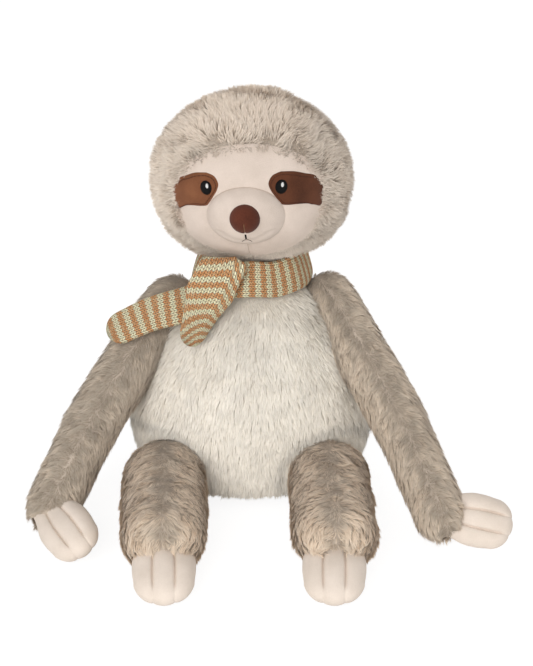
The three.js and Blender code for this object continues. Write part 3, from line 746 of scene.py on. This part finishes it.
def short_pile(name, pale, deep, fuzz):
    """Short velour nap: a fine uneven grain, slightly paler where the nap is brushed up."""
    made, tree = new_finish(name, {"Roughness": 0.9, "Specular IOR Level": 0.2, "Sheen Weight": fuzz})
    brushed = pattern(tree, "ShaderNodeTexNoise", Scale=55, Detail=4)
    grain = pattern(tree, "ShaderNodeTexNoise", Scale=1500, Detail=2)
    colour_by(tree, add_maths(tree, "MULTIPLY_ADD", grain, 0.45, brushed), deep, pale, (0.45, 0.95))
    raise_by(tree, grain, Distance=0.00035, Strength=0.6)
    return made


velour = short_pile("cream_velour", (0.84, 0.735, 0.645), (0.72, 0.62, 0.53), 0.2)


def add_mitt(name, wrist, mitt):
    """A flat bag from the wrist to three round fingertips, drawn in along two stitched lines."""
    root, along, sideways, over, length = mitt_axes(wrist, mitt)
    turns = full_turn(mitt_sides)
    across = np.sign(np.cos(turns)) * np.abs(np.cos(turns)) ** 0.85
    side = np.where(np.arange(mitt_sides) <= mitt_sides // 2, 1, -1)
    off_middle = np.abs(across)
    outer = np.abs(off_middle - outer_finger_middle) / outer_finger_half
    finger = np.clip(np.where(off_middle < stitch_across, off_middle / stitch_across, outer), 0, 1)
    stitch = bell(off_middle - stitch_across, channel_width)
    shortfall = mitt_roundness * (1 - np.sqrt(np.clip(1 - (across * 0.96) ** 2, 0, 1)))
    shortfall += fingertip_roundness * (1 - np.sqrt(np.clip(1 - (finger * 0.98) ** 2, 0, 1)))
    rim = np.clip(1 - off_middle**2.6, 0, 1) ** 0.5
    crown = 0.70 + 0.30 * np.sqrt(np.clip(1 - finger**2, 0, 1))
    points = []
    for share in np.sin(np.linspace(0, np.pi / 2, mitt_rows)):
        end = (1 - share**8) ** 0.5
        near_tip = step(share, *fingertip_shares)
        drawn = 1 - channel_depth * stitch * (1 - near_tip)
        puffed = crown + (1 - crown) * near_tip * fingertip_puff
        width = mitt["half_width"] * (0.74 + 0.26 * step(share, *palm_wide_shares))
        width = width * (1 - fingertip_taper * step(share, *taper_shares))
        thick = mitt["half_thick"] * (0.70 + 0.30 * step(share, *palm_thick_shares))
        thick = thick * end * rim * puffed * drawn
        place = root + np.outer(share * length * (1 - shortfall), along)
        points.append(place + np.outer(across * width, sideways) - np.outer(side * thick, over))
    points = np.concatenate(points)
    points[:, 2] = np.maximum(points[:, 2], mitt_floor)
    faces = []
    for i in range(mitt_rows - 1):
        for j in range(mitt_sides):
            a, k = i * mitt_sides, (j + 1) % mitt_sides
            faces.append((a + j, a + k, a + mitt_sides + k, a + mitt_sides + j))
    last = (mitt_rows - 1) * mitt_sides
    for j in range(mitt_sides // 2):
        back, next_back = (mitt_sides - j) % mitt_sides, mitt_sides - j - 1
        faces.append((j, back, next_back, j + 1))
        faces.append((last + j, last + j + 1, last + next_back, last + back))
    mesh = new_mesh(name, points, faces)
    weld = bmesh.new()
    weld.from_mesh(mesh)
    bmesh.ops.remove_doubles(weld, verts=weld.verts, dist=1e-6)
    bmesh.ops.recalc_face_normals(weld, faces=weld.faces)
    weld.to_mesh(mesh)
    weld.free()
    mesh.materials.append(velour)
    bag = new_object(f"{name}_bag", mesh)
    smooth = bag.modifiers.new("smooth", "SUBSURF")
    smooth.levels = smooth.render_levels = 1
    fit(bag, name, "velour", f"{name}_mitt", f"{name}_stuffing")


for name, sizes in mitts.items():
    add_mitt(name, joint_at[name.replace("hand", "wrist").replace("foot", "ankle")], sizes)

# Head: a round bag of pile cloth whose hood opens round a flat velour face. It sits on the neck a little
# turned and tipped, and its pile lies back from the face.
head_half = np.array([0.0735, 0.065, 0.0655])
cheek_share = 0.26
crown_share = 0.97
hood_inset = 0.0060
head_shift = Vector((0.0044, 0, 0))
head_tip, head_turn = math.radians(-2.4), math.radians(-4.5)
head_place = Matrix.Translation(neck + head_shift)
head_place @= Matrix.Rotation(head_tip, 4, "Y") @ Matrix.Rotation(head_turn, 4, "Z")
head_centre = np.array([0, -0.002, head_half[2]])
face_half_width = 0.0480
face_side = 0.0020
face_half_height = 0.0343
face_half_drop = 0.0432
face_inset = 0.0052
face_middle = head_half[2] - 0.001


def to_world(points):
    turned = np.array(head_place.to_3x3())
    return points @ turned.T + np.array(head_place.translation)


def head_surface(ways, inset):
    """Points of the head's form, in the head's own frame, for unit directions from its centre."""
    cheek = 1 + cheek_share * np.minimum(ways[:, 2], 0) ** 2
    out = ways * (head_half - inset)
    out[:, 0] *= cheek
    out[:, 2] *= np.where(out[:, 2] > 0, crown_share, 1)
    return out + head_centre


def ball_ways(rings, around):
    """Directions out of a ball, ring by ring from its back to its front."""
    turns = full_turn(around)
    return [
        np.stack([
            np.sin(angle) * np.cos(turns), np.full_like(turns, np.cos(angle)), np.sin(angle) * np.sin(turns),
        ], axis=1)
        for angle in np.linspace(0, np.pi, rings)
    ]


face_edge_shares = 0.98, 1.08
face_sink = 0.002
head_rings = np.array([head_surface(ways, hood_inset) for ways in ball_ways(rings=72, around=96)])
head_mesh = skin_mesh("head_bag", head_rings)
local = mesh_points(head_mesh)
above = local[:, 2] - face_middle
face_reach = np.where(above > 0, face_half_height, face_half_drop)
off_face = np.hypot((local[:, 0] - face_side) / face_half_width, above / face_reach)
off_face = np.where(local[:, 1] < head_centre[1], off_face, 9.0)
local[:, 1] += face_sink * (1 - step(off_face, *face_edge_shares))
move_points(head_mesh, to_world(local))
head_mesh.materials.append(taupe_backing)
head_bag = fit(new_object("head_bag", head_mesh), "head", "hood", "head_hood", "head_stuffing")

# The hood's pile lies away from the face's edge, shorter there and under the chin, and stands up in a
# ruffled fringe over the brow. Its tone has painted shade in the fringe, along the face's edge, under the
# chin and on the sides of the head. It grows in two coats that meet at the sides of the head.
chin_heights = 0.012, 0.036
chin_width = 0.35
brow_heights = 0.012, 0.026
edge_width = 0.14
fringe_middle = 1.05
fringe_width = 0.28
front_depths = -0.035, 0.03
shaded_side_reaches = 0.02, 0.06
neck_radius = 0.045
neck_heights = 0.004, 0.016
coat_overlap = 0.002
hood_toss_size = 0.013
hood_blotch_size = 0.016
brow_blotch_size = 0.006
away = local - np.array([0, 0, face_middle])
away[:, 1] = 0
away /= np.maximum(np.linalg.norm(away, axis=1, keepdims=True), 1e-6)
under_chin = step(face_middle - local[:, 2], *chin_heights) * bell(off_face - 1.0, chin_width)
near_edge = bell(off_face - 1.0, edge_width)
over_brow = step(above, *brow_heights)
fringe = bell(off_face - fringe_middle, fringe_width) * (1 - under_chin)
front = step(-local[:, 1], *front_depths)
spread = (0.55 - (0.25 + 0.85 * over_brow) * near_edge * (1 - under_chin))[:, None]
flow = away * spread * (0.35 + 0.65 * front)[:, None]
flow[:, 2] -= 0.45 * (1 - front)
flow += tossing(local, hood_toss_size, 31) * (0.3 + 0.6 * fringe)[:, None]
flow = flow @ np.array(head_place.to_3x3()).T
nap = (off_face > 1.0) * (1 - 0.45 * under_chin) * (1 + 0.15 * fringe) * (1 - 0.45 * near_edge)
on_neck = np.hypot(local[:, 0], local[:, 1]) < neck_radius
nap *= 1 - 0.75 * (1 - step(local[:, 2], *neck_heights)) * on_neck
# Painted shade on the sides of the head, deeper on the side away from the key lamp.
hood_shade = 0.27 - 0.52 * step(local[:, 0], *shaded_side_reaches) - 0.24 * step(-local[:, 0], *shaded_side_reaches)
hood_shade = hood_shade + 0.12 * waver(local, hood_blotch_size, 34)
# Painted shade in the brow's fringe and along the face's edge.
brow_shade = fringe * over_brow * (0.25 + 0.4 * waver(local, brow_blotch_size, 35))
hood_shade -= brow_shade + (0.35 + 0.55 * over_brow) * near_edge
# Painted shade under the chin.
hood_shade -= under_chin
fore, aft = local[:, 1] < coat_overlap, local[:, 1] > -coat_overlap
set_comb(head_mesh, flow, hood_shade, 0.3 + 1.1 * fringe, nap=nap * fore, nap_back=nap * aft)
fit(grow_pile("hood_front_pile", head_mesh, lit_hood_pile, 21, Ruffle=0.45), "head", "hood")
fit(grow_pile("hood_back_pile", head_mesh, lit_hood_pile, 22, "nap_back", Ruffle=0.45), "head", "hood")

# Face: a panel of cream velour set into the hood, with the raised round muzzle sewn on in its middle
# by a fine seam, and a short upright seam at the chin. Both seams are dark threads of painted shadow.
# The face's velour is a darker copy of the mitts' cream velour: painted shade on the face.
shaded_face_velour = short_pile("shaded_face_velour", (0.71, 0.605, 0.53), (0.59, 0.495, 0.425), 0.12)
seam_shadow = short_pile("seam_shadow", (0.52, 0.42, 0.34), (0.42, 0.33, 0.26), 0.1)
face_spread = 1.15
muzzle_middle = np.array([0.0006, 0.0545])
muzzle_half = np.array([0.0275, 0.0224])
muzzle_bulge = 0.0125
muzzle_lift = 0.0003
muzzle_tuck = 0.0008
muzzle_edge_shares = 0.97, 1.0
cheek_rise = 0.0022
cheek_aside, cheek_half_width = 0.034, 0.012
cheek_height, cheek_half_height = 0.046, 0.014
chin_seam_depth = 0.0012
chin_seam_width = 0.0016
chin_seam_top = 0.036
chin_seam_fade = 0.006
dimple_depth = 0.0011
dimple_radius = 0.0165
dimple_width = 0.0022
dimple_height = 0.0555
dimple_top = 0.047
dimple_stretch = 1.25


def on_head(x, z, lift):
    """Points of the face that far out of its cloth, from their place across and up the head."""
    half = head_half - face_inset
    up = (z - head_centre[2]) / half[2]
    cheek = 1 + cheek_share * np.minimum(up, 0) ** 2
    across = x / (half[0] * cheek)
    deep = np.sqrt(np.clip(1 - up**2 - across**2, 0, 1)) * half[1]
    return np.stack([x, head_centre[1] - deep - lift, z], axis=-1)


def disc_mesh(name, at, rings, around):
    """An open round sheet: at gives the points for shares of its radius and turns round it."""
    turns = full_turn(around)
    points = [at(np.zeros(1), np.zeros(1))[0]]
    for share in np.linspace(0, 1, rings + 1)[1:]:
        points += list(at(np.full_like(turns, share), turns))
    faces = [(0, 1 + j, 1 + (j + 1) % around) for j in range(around)]
    for i in range(rings - 1):
        a = 1 + i * around
        for j in range(around):
            k = (j + 1) % around
            faces.append((a + j, a + around + j, a + around + k, a + k))
    return new_mesh(name, to_world(np.array(points)), faces)


def add_head_piece(name, mesh, finish, slot, *nodes):
    mesh.materials.append(finish)
    return fit(new_object(name, mesh), "head", slot, *nodes)


def face_at(share, turn):
    """Points of the face, which runs a little way in under the hood."""
    x = face_side + face_half_width * face_spread * share * np.cos(turn)
    up = np.sin(turn)
    z = face_middle + np.where(up > 0, face_half_height, face_half_drop) * face_spread * share * up
    cheeks = cheek_rise * bell(np.abs(x) - cheek_aside, cheek_half_width)
    cheeks = cheeks * bell(z - cheek_height, cheek_half_height)
    crease = chin_seam_depth * bell(x, chin_seam_width) * step(chin_seam_top - z, 0, chin_seam_fade)
    return on_head(x, z, cheeks - crease)


face_mesh = disc_mesh("face_cloth", face_at, rings=64, around=200)
add_head_piece("face_cloth", face_mesh, shaded_face_velour, "velour", "face_panel")


def on_muzzle(x, z, lift=0.0):
    """Points of the muzzle, which swells out of the face within its round seam."""
    off = np.hypot((x - muzzle_middle[0]) / muzzle_half[0], (z - muzzle_middle[1]) / muzzle_half[1])
    rise = muzzle_bulge * np.clip(1 - off**2.4, 0, 1) ** 0.72
    off_ring = np.hypot(x / dimple_stretch, z - dimple_height) - dimple_radius
    dimple = dimple_depth * bell(off_ring, dimple_width) * (z < dimple_top)
    return on_head(x, z, rise - dimple + muzzle_lift + lift)


def muzzle_at(share, turn):
    eased = np.sin(share * np.pi / 2)
    x = muzzle_middle[0] + muzzle_half[0] * eased * np.cos(turn)
    z = muzzle_middle[1] + muzzle_half[1] * eased * np.sin(turn)
    return on_muzzle(x, z, -muzzle_tuck * step(share, *muzzle_edge_shares))


muzzle_mesh = disc_mesh("muzzle_cloth", muzzle_at, rings=60, around=160)
add_head_piece("muzzle_cloth", muzzle_mesh, shaded_face_velour, "velour", "muzzle_panel")


def add_thread(name, lines, finish, slot, *nodes):
    """Threads along lines of places on the head, each with its own radius."""
    curve = bpy.data.curves.new(name, "CURVE")
    curve.dimensions = "3D"
    curve.bevel_depth = 1.0
    curve.bevel_resolution = 1
    curve.use_fill_caps = True
    for spots, radius in lines:
        line = curve.splines.new("POLY")
        line.points.add(len(spots) - 1)
        for held, spot in zip(line.points, to_world(np.array(spots))):
            held.co = (*spot, 1)
            held.radius = radius
    maker = new_object(f"{name}_maker", curve)
    mesh = bpy.data.meshes.new_from_object(maker.evaluated_get(bpy.context.evaluated_depsgraph_get()))
    bpy.data.objects.remove(maker)
    mesh.materials.clear()
    return add_head_piece(name, mesh, finish, slot, *nodes)


# The seam threads are darker velour sunk in the cloth: painted shadow lines in the seams' grooves.
seam_share = 1.004
muzzle_seam_lift, chin_seam_lift = -0.00005, -0.0011
muzzle_seam_radius, chin_seam_radius = 0.00022, 0.0002
chin_seam_heights = 0.031, 0.021
seam_turns = np.linspace(0, 2 * np.pi, 121)
seam_x = muzzle_middle[0] + muzzle_half[0] * seam_share * np.cos(seam_turns)
seam_z = muzzle_middle[1] + muzzle_half[1] * seam_share * np.sin(seam_turns)
chin_z = np.linspace(*chin_seam_heights, 12)
add_thread(
    "face_seams",
    [
        (on_head(seam_x, seam_z, muzzle_seam_lift), muzzle_seam_radius),
        (on_head(chin_z * 0, chin_z, chin_seam_lift), chin_seam_radius),
    ],
    seam_shadow, "velour",
)

# Nose: a stuffed ball of brown velour, its lower half closed by an upright seam.
nose_velour = short_pile("nose_velour", (0.128, 0.034, 0.017), (0.066, 0.017, 0.009), 0.1)
worn_brown = short_pile("worn_brown_thread", (0.36, 0.19, 0.09), (0.22, 0.10, 0.045), 0.1)
nose_centre = np.array([0.0012, -0.0710, 0.0582])
nose_half = np.array([0.0106, 0.0092, 0.0104])
nose_seam_share = 0.09
nose_seam_width = 0.06
nose_seam_drops = -0.1, 0.25
nose_thread_angles = -0.1, -1.05
nose_thread_share = 0.93
nose_thread_radius = 0.00022
nose_rings = []
for ways in ball_ways(rings=48, around=96):
    seam = bell(ways[:, 0], nose_seam_width) * step(-ways[:, 2], *nose_seam_drops)
    nose_rings.append(nose_centre + ways * nose_half * (1 - nose_seam_share * seam)[:, None])
nose_mesh = skin_mesh("nose_ball", np.array(nose_rings))
move_points(nose_mesh, to_world(mesh_points(nose_mesh)))
nose_ball = add_head_piece("nose_ball", nose_mesh, nose_velour, "nose", "nose")
nose_down = np.linspace(*nose_thread_angles, 14)
nose_seam = np.stack([
    nose_centre[0] + 0 * nose_down,
    nose_centre[1] - nose_half[1] * nose_thread_share * np.cos(nose_down),
    nose_centre[2] + nose_half[2] * nose_thread_share * np.sin(nose_down),
], axis=1)
add_thread("nose_seam", [(nose_seam, nose_thread_radius)], worn_brown, "nose")

# Eyes: a patch of brown velour topstitched to the face on each side, with a black satin-stitched eye
# and a small white stitched glint on it. Lengths of the patch's edge are in millimetres.
# The two patches are lit and shaded copies of one brown velour: the left one paler, as painted light.
patch_velours = {
    "left": short_pile("patch_velour_lit_left", (0.226, 0.088, 0.039), (0.132, 0.044, 0.019), 0.12),
    "right": short_pile("patch_velour_shaded_right", (0.121, 0.040, 0.018), (0.061, 0.019, 0.008), 0.12),
}
patch_thread = short_pile("patch_thread", (0.085, 0.026, 0.012), (0.045, 0.014, 0.007), 0.05)
patch_middle = 0.0335, 0.0715
patch_edge = [
    (25.5, 86.0), (19.8, 84.0), (17.0, 79.2), (18.2, 74.5), (20.8, 70.0), (24.6, 64.2),
    (26.2, 62.6), (30.5, 61.6), (36.0, 61.0), (42.0, 59.8), (46.5, 57.2), (50.0, 55.6),
    (51.6, 62.8), (51.6, 71.6), (46.5, 78.8), (41.0, 81.8), (34.0, 84.8), (25.5, 86.0),
]
patch_lift = 0.0017
patch_outer_end = 0.030, 0.050
patch_stretch, patch_side_stretch = 0.0010, 0.0012
sewn_depth = 0.0003
eye_spread = 0.026
eye_height = 0.0760
eye_half_width = 0.0047
eye_half_height = 0.0056
eye_lift = 0.0030
glint_aside = 0.0009
glint_above = 0.0017
glint_half_width = 0.0013
glint_half_height = 0.0021
glint_lift = 0.0037
topstitch_inset = 0.0022
topstitch_lift = 0.00135
topstitch_radius = 0.00028
topstitch_steps = 180
topstitch_pitch = 4
topstitch_reach = 0.047


def satin(name, colour, rough, shine):
    """Satin stitch: close parallel threads that shine along their length."""
    made, tree = new_finish(name, {"Roughness": rough, "Specular IOR Level": shine})
    threads = pattern(tree, "ShaderNodeTexWave", Scale=700, Distortion=1.5)
    colour_by(tree, threads, [c * 0.6 for c in colour], colour)
    raise_by(tree, threads, Distance=0.00012)
    return made


stitch_black = satin("black_stitching", (0.006, 0.005, 0.005), 0.5, 0.12)
stitch_white = satin("white_stitching", (0.95, 0.95, 0.94), 0.5, 0.3)


def raised(outline, centre, lift, plump):
    """A thin piece that lies on the face inside an outline, rounded down at its edge."""
    def at(share, turn):
        spots = outline(turn)
        x = centre[0] + (spots[:, 0] - centre[0]) * share
        z = centre[1] + (spots[:, 1] - centre[1]) * share
        return on_head(x, z, lift * (1 - share**plump) - sewn_depth)
    return at


def oval(x, z, half_width, half_height):
    return lambda turn: np.stack([x + half_width * np.cos(turn), z + half_height * np.sin(turn)], axis=1)


for side_name, side in (("left", -1), ("right", 1)):
    eye_x = side * eye_spread
    glint_x, glint_z = eye_x + glint_aside, eye_height + glint_above
    middle = np.array([side * patch_middle[0], patch_middle[1]])

    def patch_outline(turn, side=side):
        spots = smooth_curve(np.array(patch_edge) / 1000, (-side * turn / (2 * np.pi)) % 1)
        spots[:, 0] += (patch_stretch + patch_side_stretch * side) * step(spots[:, 0], *patch_outer_end)
        return spots * (side, 1)

    eye_edge = oval(eye_x, eye_height, eye_half_width, eye_half_height)
    glint_edge = oval(glint_x, glint_z, glint_half_width, glint_half_height)
    pieces = (
        ("eye_patch", patch_outline, middle, patch_lift, 14, patch_velours[side_name], "patch"),
        ("eye", eye_edge, (eye_x, eye_height), eye_lift, 6, stitch_black, "eye"),
        ("eye_glint", glint_edge, (glint_x, glint_z), glint_lift, 6, stitch_white, "glint"),
    )
    for name, outline, centre, lift, plump, finish, slot in pieces:
        form = raised(outline, centre, lift, plump)
        mesh = disc_mesh(f"{name}_{side_name}_cloth", form, rings=20, around=128)
        add_head_piece(f"{name}_{side_name}_cloth", mesh, finish, slot, f"{name}_{side_name}")
    stitches = []
    line = patch_outline(np.linspace(0, 2 * np.pi, topstitch_steps + 1))
    line = line + (middle - line) / np.linalg.norm(middle - line, axis=1, keepdims=True) * topstitch_inset
    for i in range(0, topstitch_steps, topstitch_pitch):
        part = line[i:i + topstitch_pitch]
        if np.abs(part[:, 0]).max() < topstitch_reach:
            stitches.append((on_head(part[:, 0], part[:, 1], topstitch_lift), topstitch_radius))
    add_thread(f"patch_topstitch_{side_name}", stitches, patch_thread, "patch")

# Mouth: one short upright stitch of black thread under the nose that splits into two fine ones.
# The thread is partly sunk in the muzzle's cloth.
mouth_x = 0.0010
mouth_top = 0.0462
mouth_spread = 0.0034
mouth_stem_foot = mouth_top - 0.0042
mouth_fork = mouth_top - 0.0044
mouth_foot = mouth_top - 0.0086
mouth_thick = 0.0006
mouth_fine = 0.00018
mouth_lift_share = 0.4
mouth_parts = (
    ((mouth_x, mouth_top), (mouth_x, mouth_stem_foot), mouth_thick),
    ((mouth_x, mouth_fork), (mouth_x - mouth_spread, mouth_foot), mouth_fine),
    ((mouth_x, mouth_fork), (mouth_x + mouth_spread, mouth_foot), mouth_fine),
)
mouth_lines = []
for start, end, radius in mouth_parts:
    x, z = (start[k] + (end[k] - start[k]) * np.linspace(0, 1, 5) for k in (0, 1))
    mouth_lines.append((on_muzzle(x, z, radius * mouth_lift_share), radius))
add_thread("mouth_thread", mouth_lines, stitch_black, "thread", "mouth_stitch")

# Scarf: one flattened tube of thick knitting in tan and cream stripes, wound round the neck. One end
# hangs folded down over the front of the wrap, and the other lies over the shoulder.
stitch_width = 0.0034
stitch_height = 0.0023
stripe_rows = 4
loop_slant = 0.8
loop_shade_edge = 3.2
tan_share = 0.45
fleck_level, fleck_strength = 0.54, 0.5
tan_yarn = (0.76, 0.36, 0.145, 1)
cream_yarn = (1.0, 0.955, 0.67, 1)
fleck_yarn = (0.95, 0.72, 0.42, 1)
shade_between_loops = (0.10, 0.04, 0.012, 1)


def knitted(name):
    """Stocking stitch: columns of V-shaped loops, in bands of two rows of each yarn, with painted shade
    between the loops.
    """
    made, tree = new_finish(name, {"Roughness": 0.85, "Specular IOR Level": 0.2, "Sheen Weight": 0.08})
    maths = partial(add_maths, tree)

    def blended(amount, first, second):
        colours = {"Factor": amount, 6: first, 7: second}
        return add_node(tree, "ShaderNodeMix", colours, data_type="RGBA").outputs[2]

    own = add_node(tree, "ShaderNodeUVMap", {}, uv_map="knit")
    parts = add_node(tree, "ShaderNodeSeparateXYZ", {0: own.outputs["UV"]})
    column = maths("DIVIDE", parts.outputs[1], stitch_width)
    off = maths("MULTIPLY", maths("PINGPONG", column, 0.5), 2)
    row = maths("ADD", maths("DIVIDE", parts.outputs[0], stitch_height), maths("MULTIPLY", off, loop_slant))
    along = maths("SUBTRACT", maths("MULTIPLY", maths("FRACT", row), 2), 1)
    across = maths("SUBTRACT", maths("MULTIPLY", off, 2), 1)
    plump = maths("SUBTRACT", 1, maths("MULTIPLY", along, along))
    leg = maths("MULTIPLY", plump, maths("SUBTRACT", 1, maths("MULTIPLY", across, across)))
    band = maths("FRACT", maths("DIVIDE", maths("FLOOR", row), stripe_rows))
    fibre = pattern(tree, "ShaderNodeTexNoise", Scale=650, Detail=2)
    yarn = blended(maths("GREATER_THAN", band, tan_share), tan_yarn, cream_yarn)
    flecks = maths("MULTIPLY", maths("GREATER_THAN", fibre, fleck_level), fleck_strength)
    spotted = blended(flecks, yarn, fleck_yarn)
    # Painted shade: the colour falls to the shade between the loops at each loop's edge.
    depth = maths("MINIMUM", maths("MULTIPLY", leg, loop_shade_edge), 1.0)
    colour = blended(depth, shade_between_loops, spotted)
    put(tree, tree.nodes["Principled BSDF"], {"Base Color": colour})
    raise_by(tree, maths("ADD", maths("POWER", leg, 0.8), maths("MULTIPLY", fibre, 0.3)), Distance=0.0012)
    return made


knit = knitted("striped_knit")


def knit_mesh(name, rings, lengthwise, around, closed):
    """A knitted tube through rings of points, with its lengthwise and round-about yarn lengths as UV."""
    count, sides = rings.shape[:2]
    faces, spots = [], []
    loops = count if closed else count - 1
    for i in range(loops):
        n = (i + 1) % count
        for j in range(sides):
            k = (j + 1) % sides
            faces.append((i * sides + j, i * sides + k, n * sides + k, n * sides + j))
            spots += [(lengthwise[i, j], around[j]), (lengthwise[i, k], around[j + 1])]
            spots += [(lengthwise[i + 1, k], around[j + 1]), (lengthwise[i + 1, j], around[j])]
    points = [tuple(p) for p in rings.reshape(-1, 3)]
    if not closed:
        for i, turned in ((0, True), (count - 1, False)):
            middle = len(points)
            points.append(tuple(rings[i].mean(axis=0)))
            for j in range(sides):
                k = (j + 1) % sides
                pair = (i * sides + k, i * sides + j) if turned else (i * sides + j, i * sides + k)
                here = lengthwise[i, j]
                faces.append((*pair, middle))
                spots += [(here, around[j]), (here, around[j + 1]), (here, around[j])]
    mesh = new_mesh(name, points, faces)
    own = mesh.uv_layers.new(name="knit")
    own.data.foreach_set("uv", np.array(spots, np.float32).ravel())
    mesh.materials.append(knit)
    return mesh


scarf_half_width = 0.0135
scarf_half_thick = 0.0036
scarf_sides = 72
scarf_turns = np.linspace(0, 2 * np.pi, scarf_sides + 1)
scarf_across = np.sign(np.cos(scarf_turns)) * np.abs(np.cos(scarf_turns)) ** 0.75
scarf_out = np.sign(np.sin(scarf_turns)) * np.abs(np.sin(scarf_turns)) ** 0.55
scarf_section = np.stack([scarf_across * scarf_half_width, scarf_out * scarf_half_thick], axis=1)
scarf_around = np.concatenate([[0], np.cumsum(np.linalg.norm(np.diff(scarf_section, axis=0), axis=1))])
scarf_turn_shares = scarf_around / scarf_around[-1]
wrap_middle = np.array(neck) + (0.0010, 0.0005, -0.0068)
wrap_half = np.array([0.0388, 0.0425])
wrap_back_rise = 0.011
wrap_flare = 0.008
wrap_side_rise = 0.0022
wrap_wave, wrap_ripple = 0.0012, 0.0008
wrap_squeeze = 0.9
wrap_tilt = math.radians(8)
wrap_rows = 32 * stripe_rows
wrap_columns = 17
wrap_steps = 240
wrap_rings = []
for angle in np.linspace(0, 2 * np.pi, wrap_steps + 1)[:-1]:
    wave = wrap_wave * math.sin(3 * angle + 0.7) + wrap_ripple * math.sin(7 * angle)
    up = scarf_section[:-1, 0] * wrap_squeeze
    out = scarf_section[:-1, 1] - up / (2 * scarf_half_width) * wrap_flare + wave
    x = (wrap_half[0] + out) * math.cos(angle)
    y = (wrap_half[1] + out) * math.sin(angle)
    rise = wrap_side_rise * math.cos(angle)
    z = up + wave + rise + wrap_back_rise * max(math.sin(angle), 0) ** 1.5
    tilted_y = y * math.cos(wrap_tilt) + z * math.sin(wrap_tilt)
    tilted_z = -y * math.sin(wrap_tilt) + z * math.cos(wrap_tilt)
    wrap_rings.append(wrap_middle + np.stack([x, tilted_y, tilted_z], axis=1))
wrap_rings = np.array(wrap_rings)
wrap_length = wrap_rows * stitch_height
wrap_lengths = np.tile(np.linspace(0, wrap_length, wrap_steps + 1)[:, None], (1, scarf_sides))
wrap_around = scarf_turn_shares * wrap_columns * stitch_width
wrap_mesh = knit_mesh("scarf_wrap_knit", wrap_rings, wrap_lengths, wrap_around, True)
scarf_wrap = fit(new_object("scarf_wrap_knit", wrap_mesh), "body", "scarf", "scarf_wrap")


tail_rows = 170
tail_round_share = 0.14
tail_least_share = 0.02
tail_turned_shares = 0.62, 1
ridge_width = 0.0013
ridge_rise = 0.0006
fold_fall = 0.5
fold_draw = 1.7
fold_slant, tip_slant = 0.5, 1.5


def add_tail(name, knots, aside, widths, ridge, length, columns):
    """A tail of the scarf from the wrap to its round end, its right part folded back along a ridge."""
    line = smooth_curve(knots, np.linspace(0, 1, tail_rows))
    ways = np.gradient(line, axis=0)
    ways /= np.linalg.norm(ways, axis=1, keepdims=True)
    run = np.concatenate([[0], np.cumsum(np.linalg.norm(np.diff(line, axis=0), axis=1))])
    folded = ridge < 1
    rings, lengths = [], []
    for share, place, way in zip(run / run[-1], line, ways):
        sideways = np.array(aside) - way * (way @ aside)
        sideways /= np.linalg.norm(sideways)
        out = np.cross(sideways, way)
        end = (1 - np.clip((share - (1 - tail_round_share)) / tail_round_share, 0, 1) ** 2) ** 0.5
        scale = np.interp(share, np.linspace(0, 1, len(widths)), widths)
        wide = scarf_section[:-1, 0] * scale * max(end, tail_least_share)
        past = np.clip(-wide - ridge * scarf_half_width * scale, 0, None) * folded
        peak = bell(wide + ridge * scarf_half_width * scale, ridge_width) * folded
        thick = scarf_section[:-1, 1] * max(end, tail_least_share) ** 0.6
        thick = thick + (ridge_rise * peak - fold_fall * past) * end
        rings.append(place + np.outer(wide, sideways) + np.outer(thick, out))
        turned = (fold_slant + tip_slant * step(share, *tail_turned_shares)) * folded
        lengths.append(share * length - fold_draw * past - turned * wide)
    around = scarf_turn_shares * columns * stitch_width
    mesh = knit_mesh(f"{name}_knit", np.array(rings), np.array(lengths), around, False)
    tail = new_object(f"{name}_knit", mesh)
    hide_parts(name)
    return tail


wrap_front = np.array(neck) + (0, -0.047, 0)
front_knots = wrap_front + np.array([
    (-0.0155, 0.0090, 0.0050), (-0.0162, -0.0005, 0.0160), (-0.0198, -0.0075, 0.0123),
    (-0.0280, -0.0115, -0.0046), (-0.0356, -0.0130, -0.0227), (-0.0434, -0.0130, -0.0432),
])
side_knots = wrap_front + np.array([
    (-0.0225, 0.006, -0.0120), (-0.045, 0.002, -0.0180), (-0.072, 0.0055, -0.0275), (-0.103, 0.005, -0.043),
])
front_widths = 1.06, 1.08, 1.22, 1.28, 0.98, 0.76, 0.68
front_length = 0.094
side_widths = 1.04, 0.95, 0.86
side_length = 0.090
front_ridge, no_ridge = 0.42, 2
front_across, side_across = (-1, 0, 0), (-0.17, 0.62, 0.70)
front_columns, side_columns = 21, 18
front_tail = add_tail(
    "scarf_front_tail", front_knots, front_across, front_widths, front_ridge, front_length, front_columns,
)
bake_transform(front_tail)
side_tail = add_tail(
    "scarf_side_tail", side_knots, side_across, side_widths, no_ridge, side_length, side_columns,
)
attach(side_tail, "body")
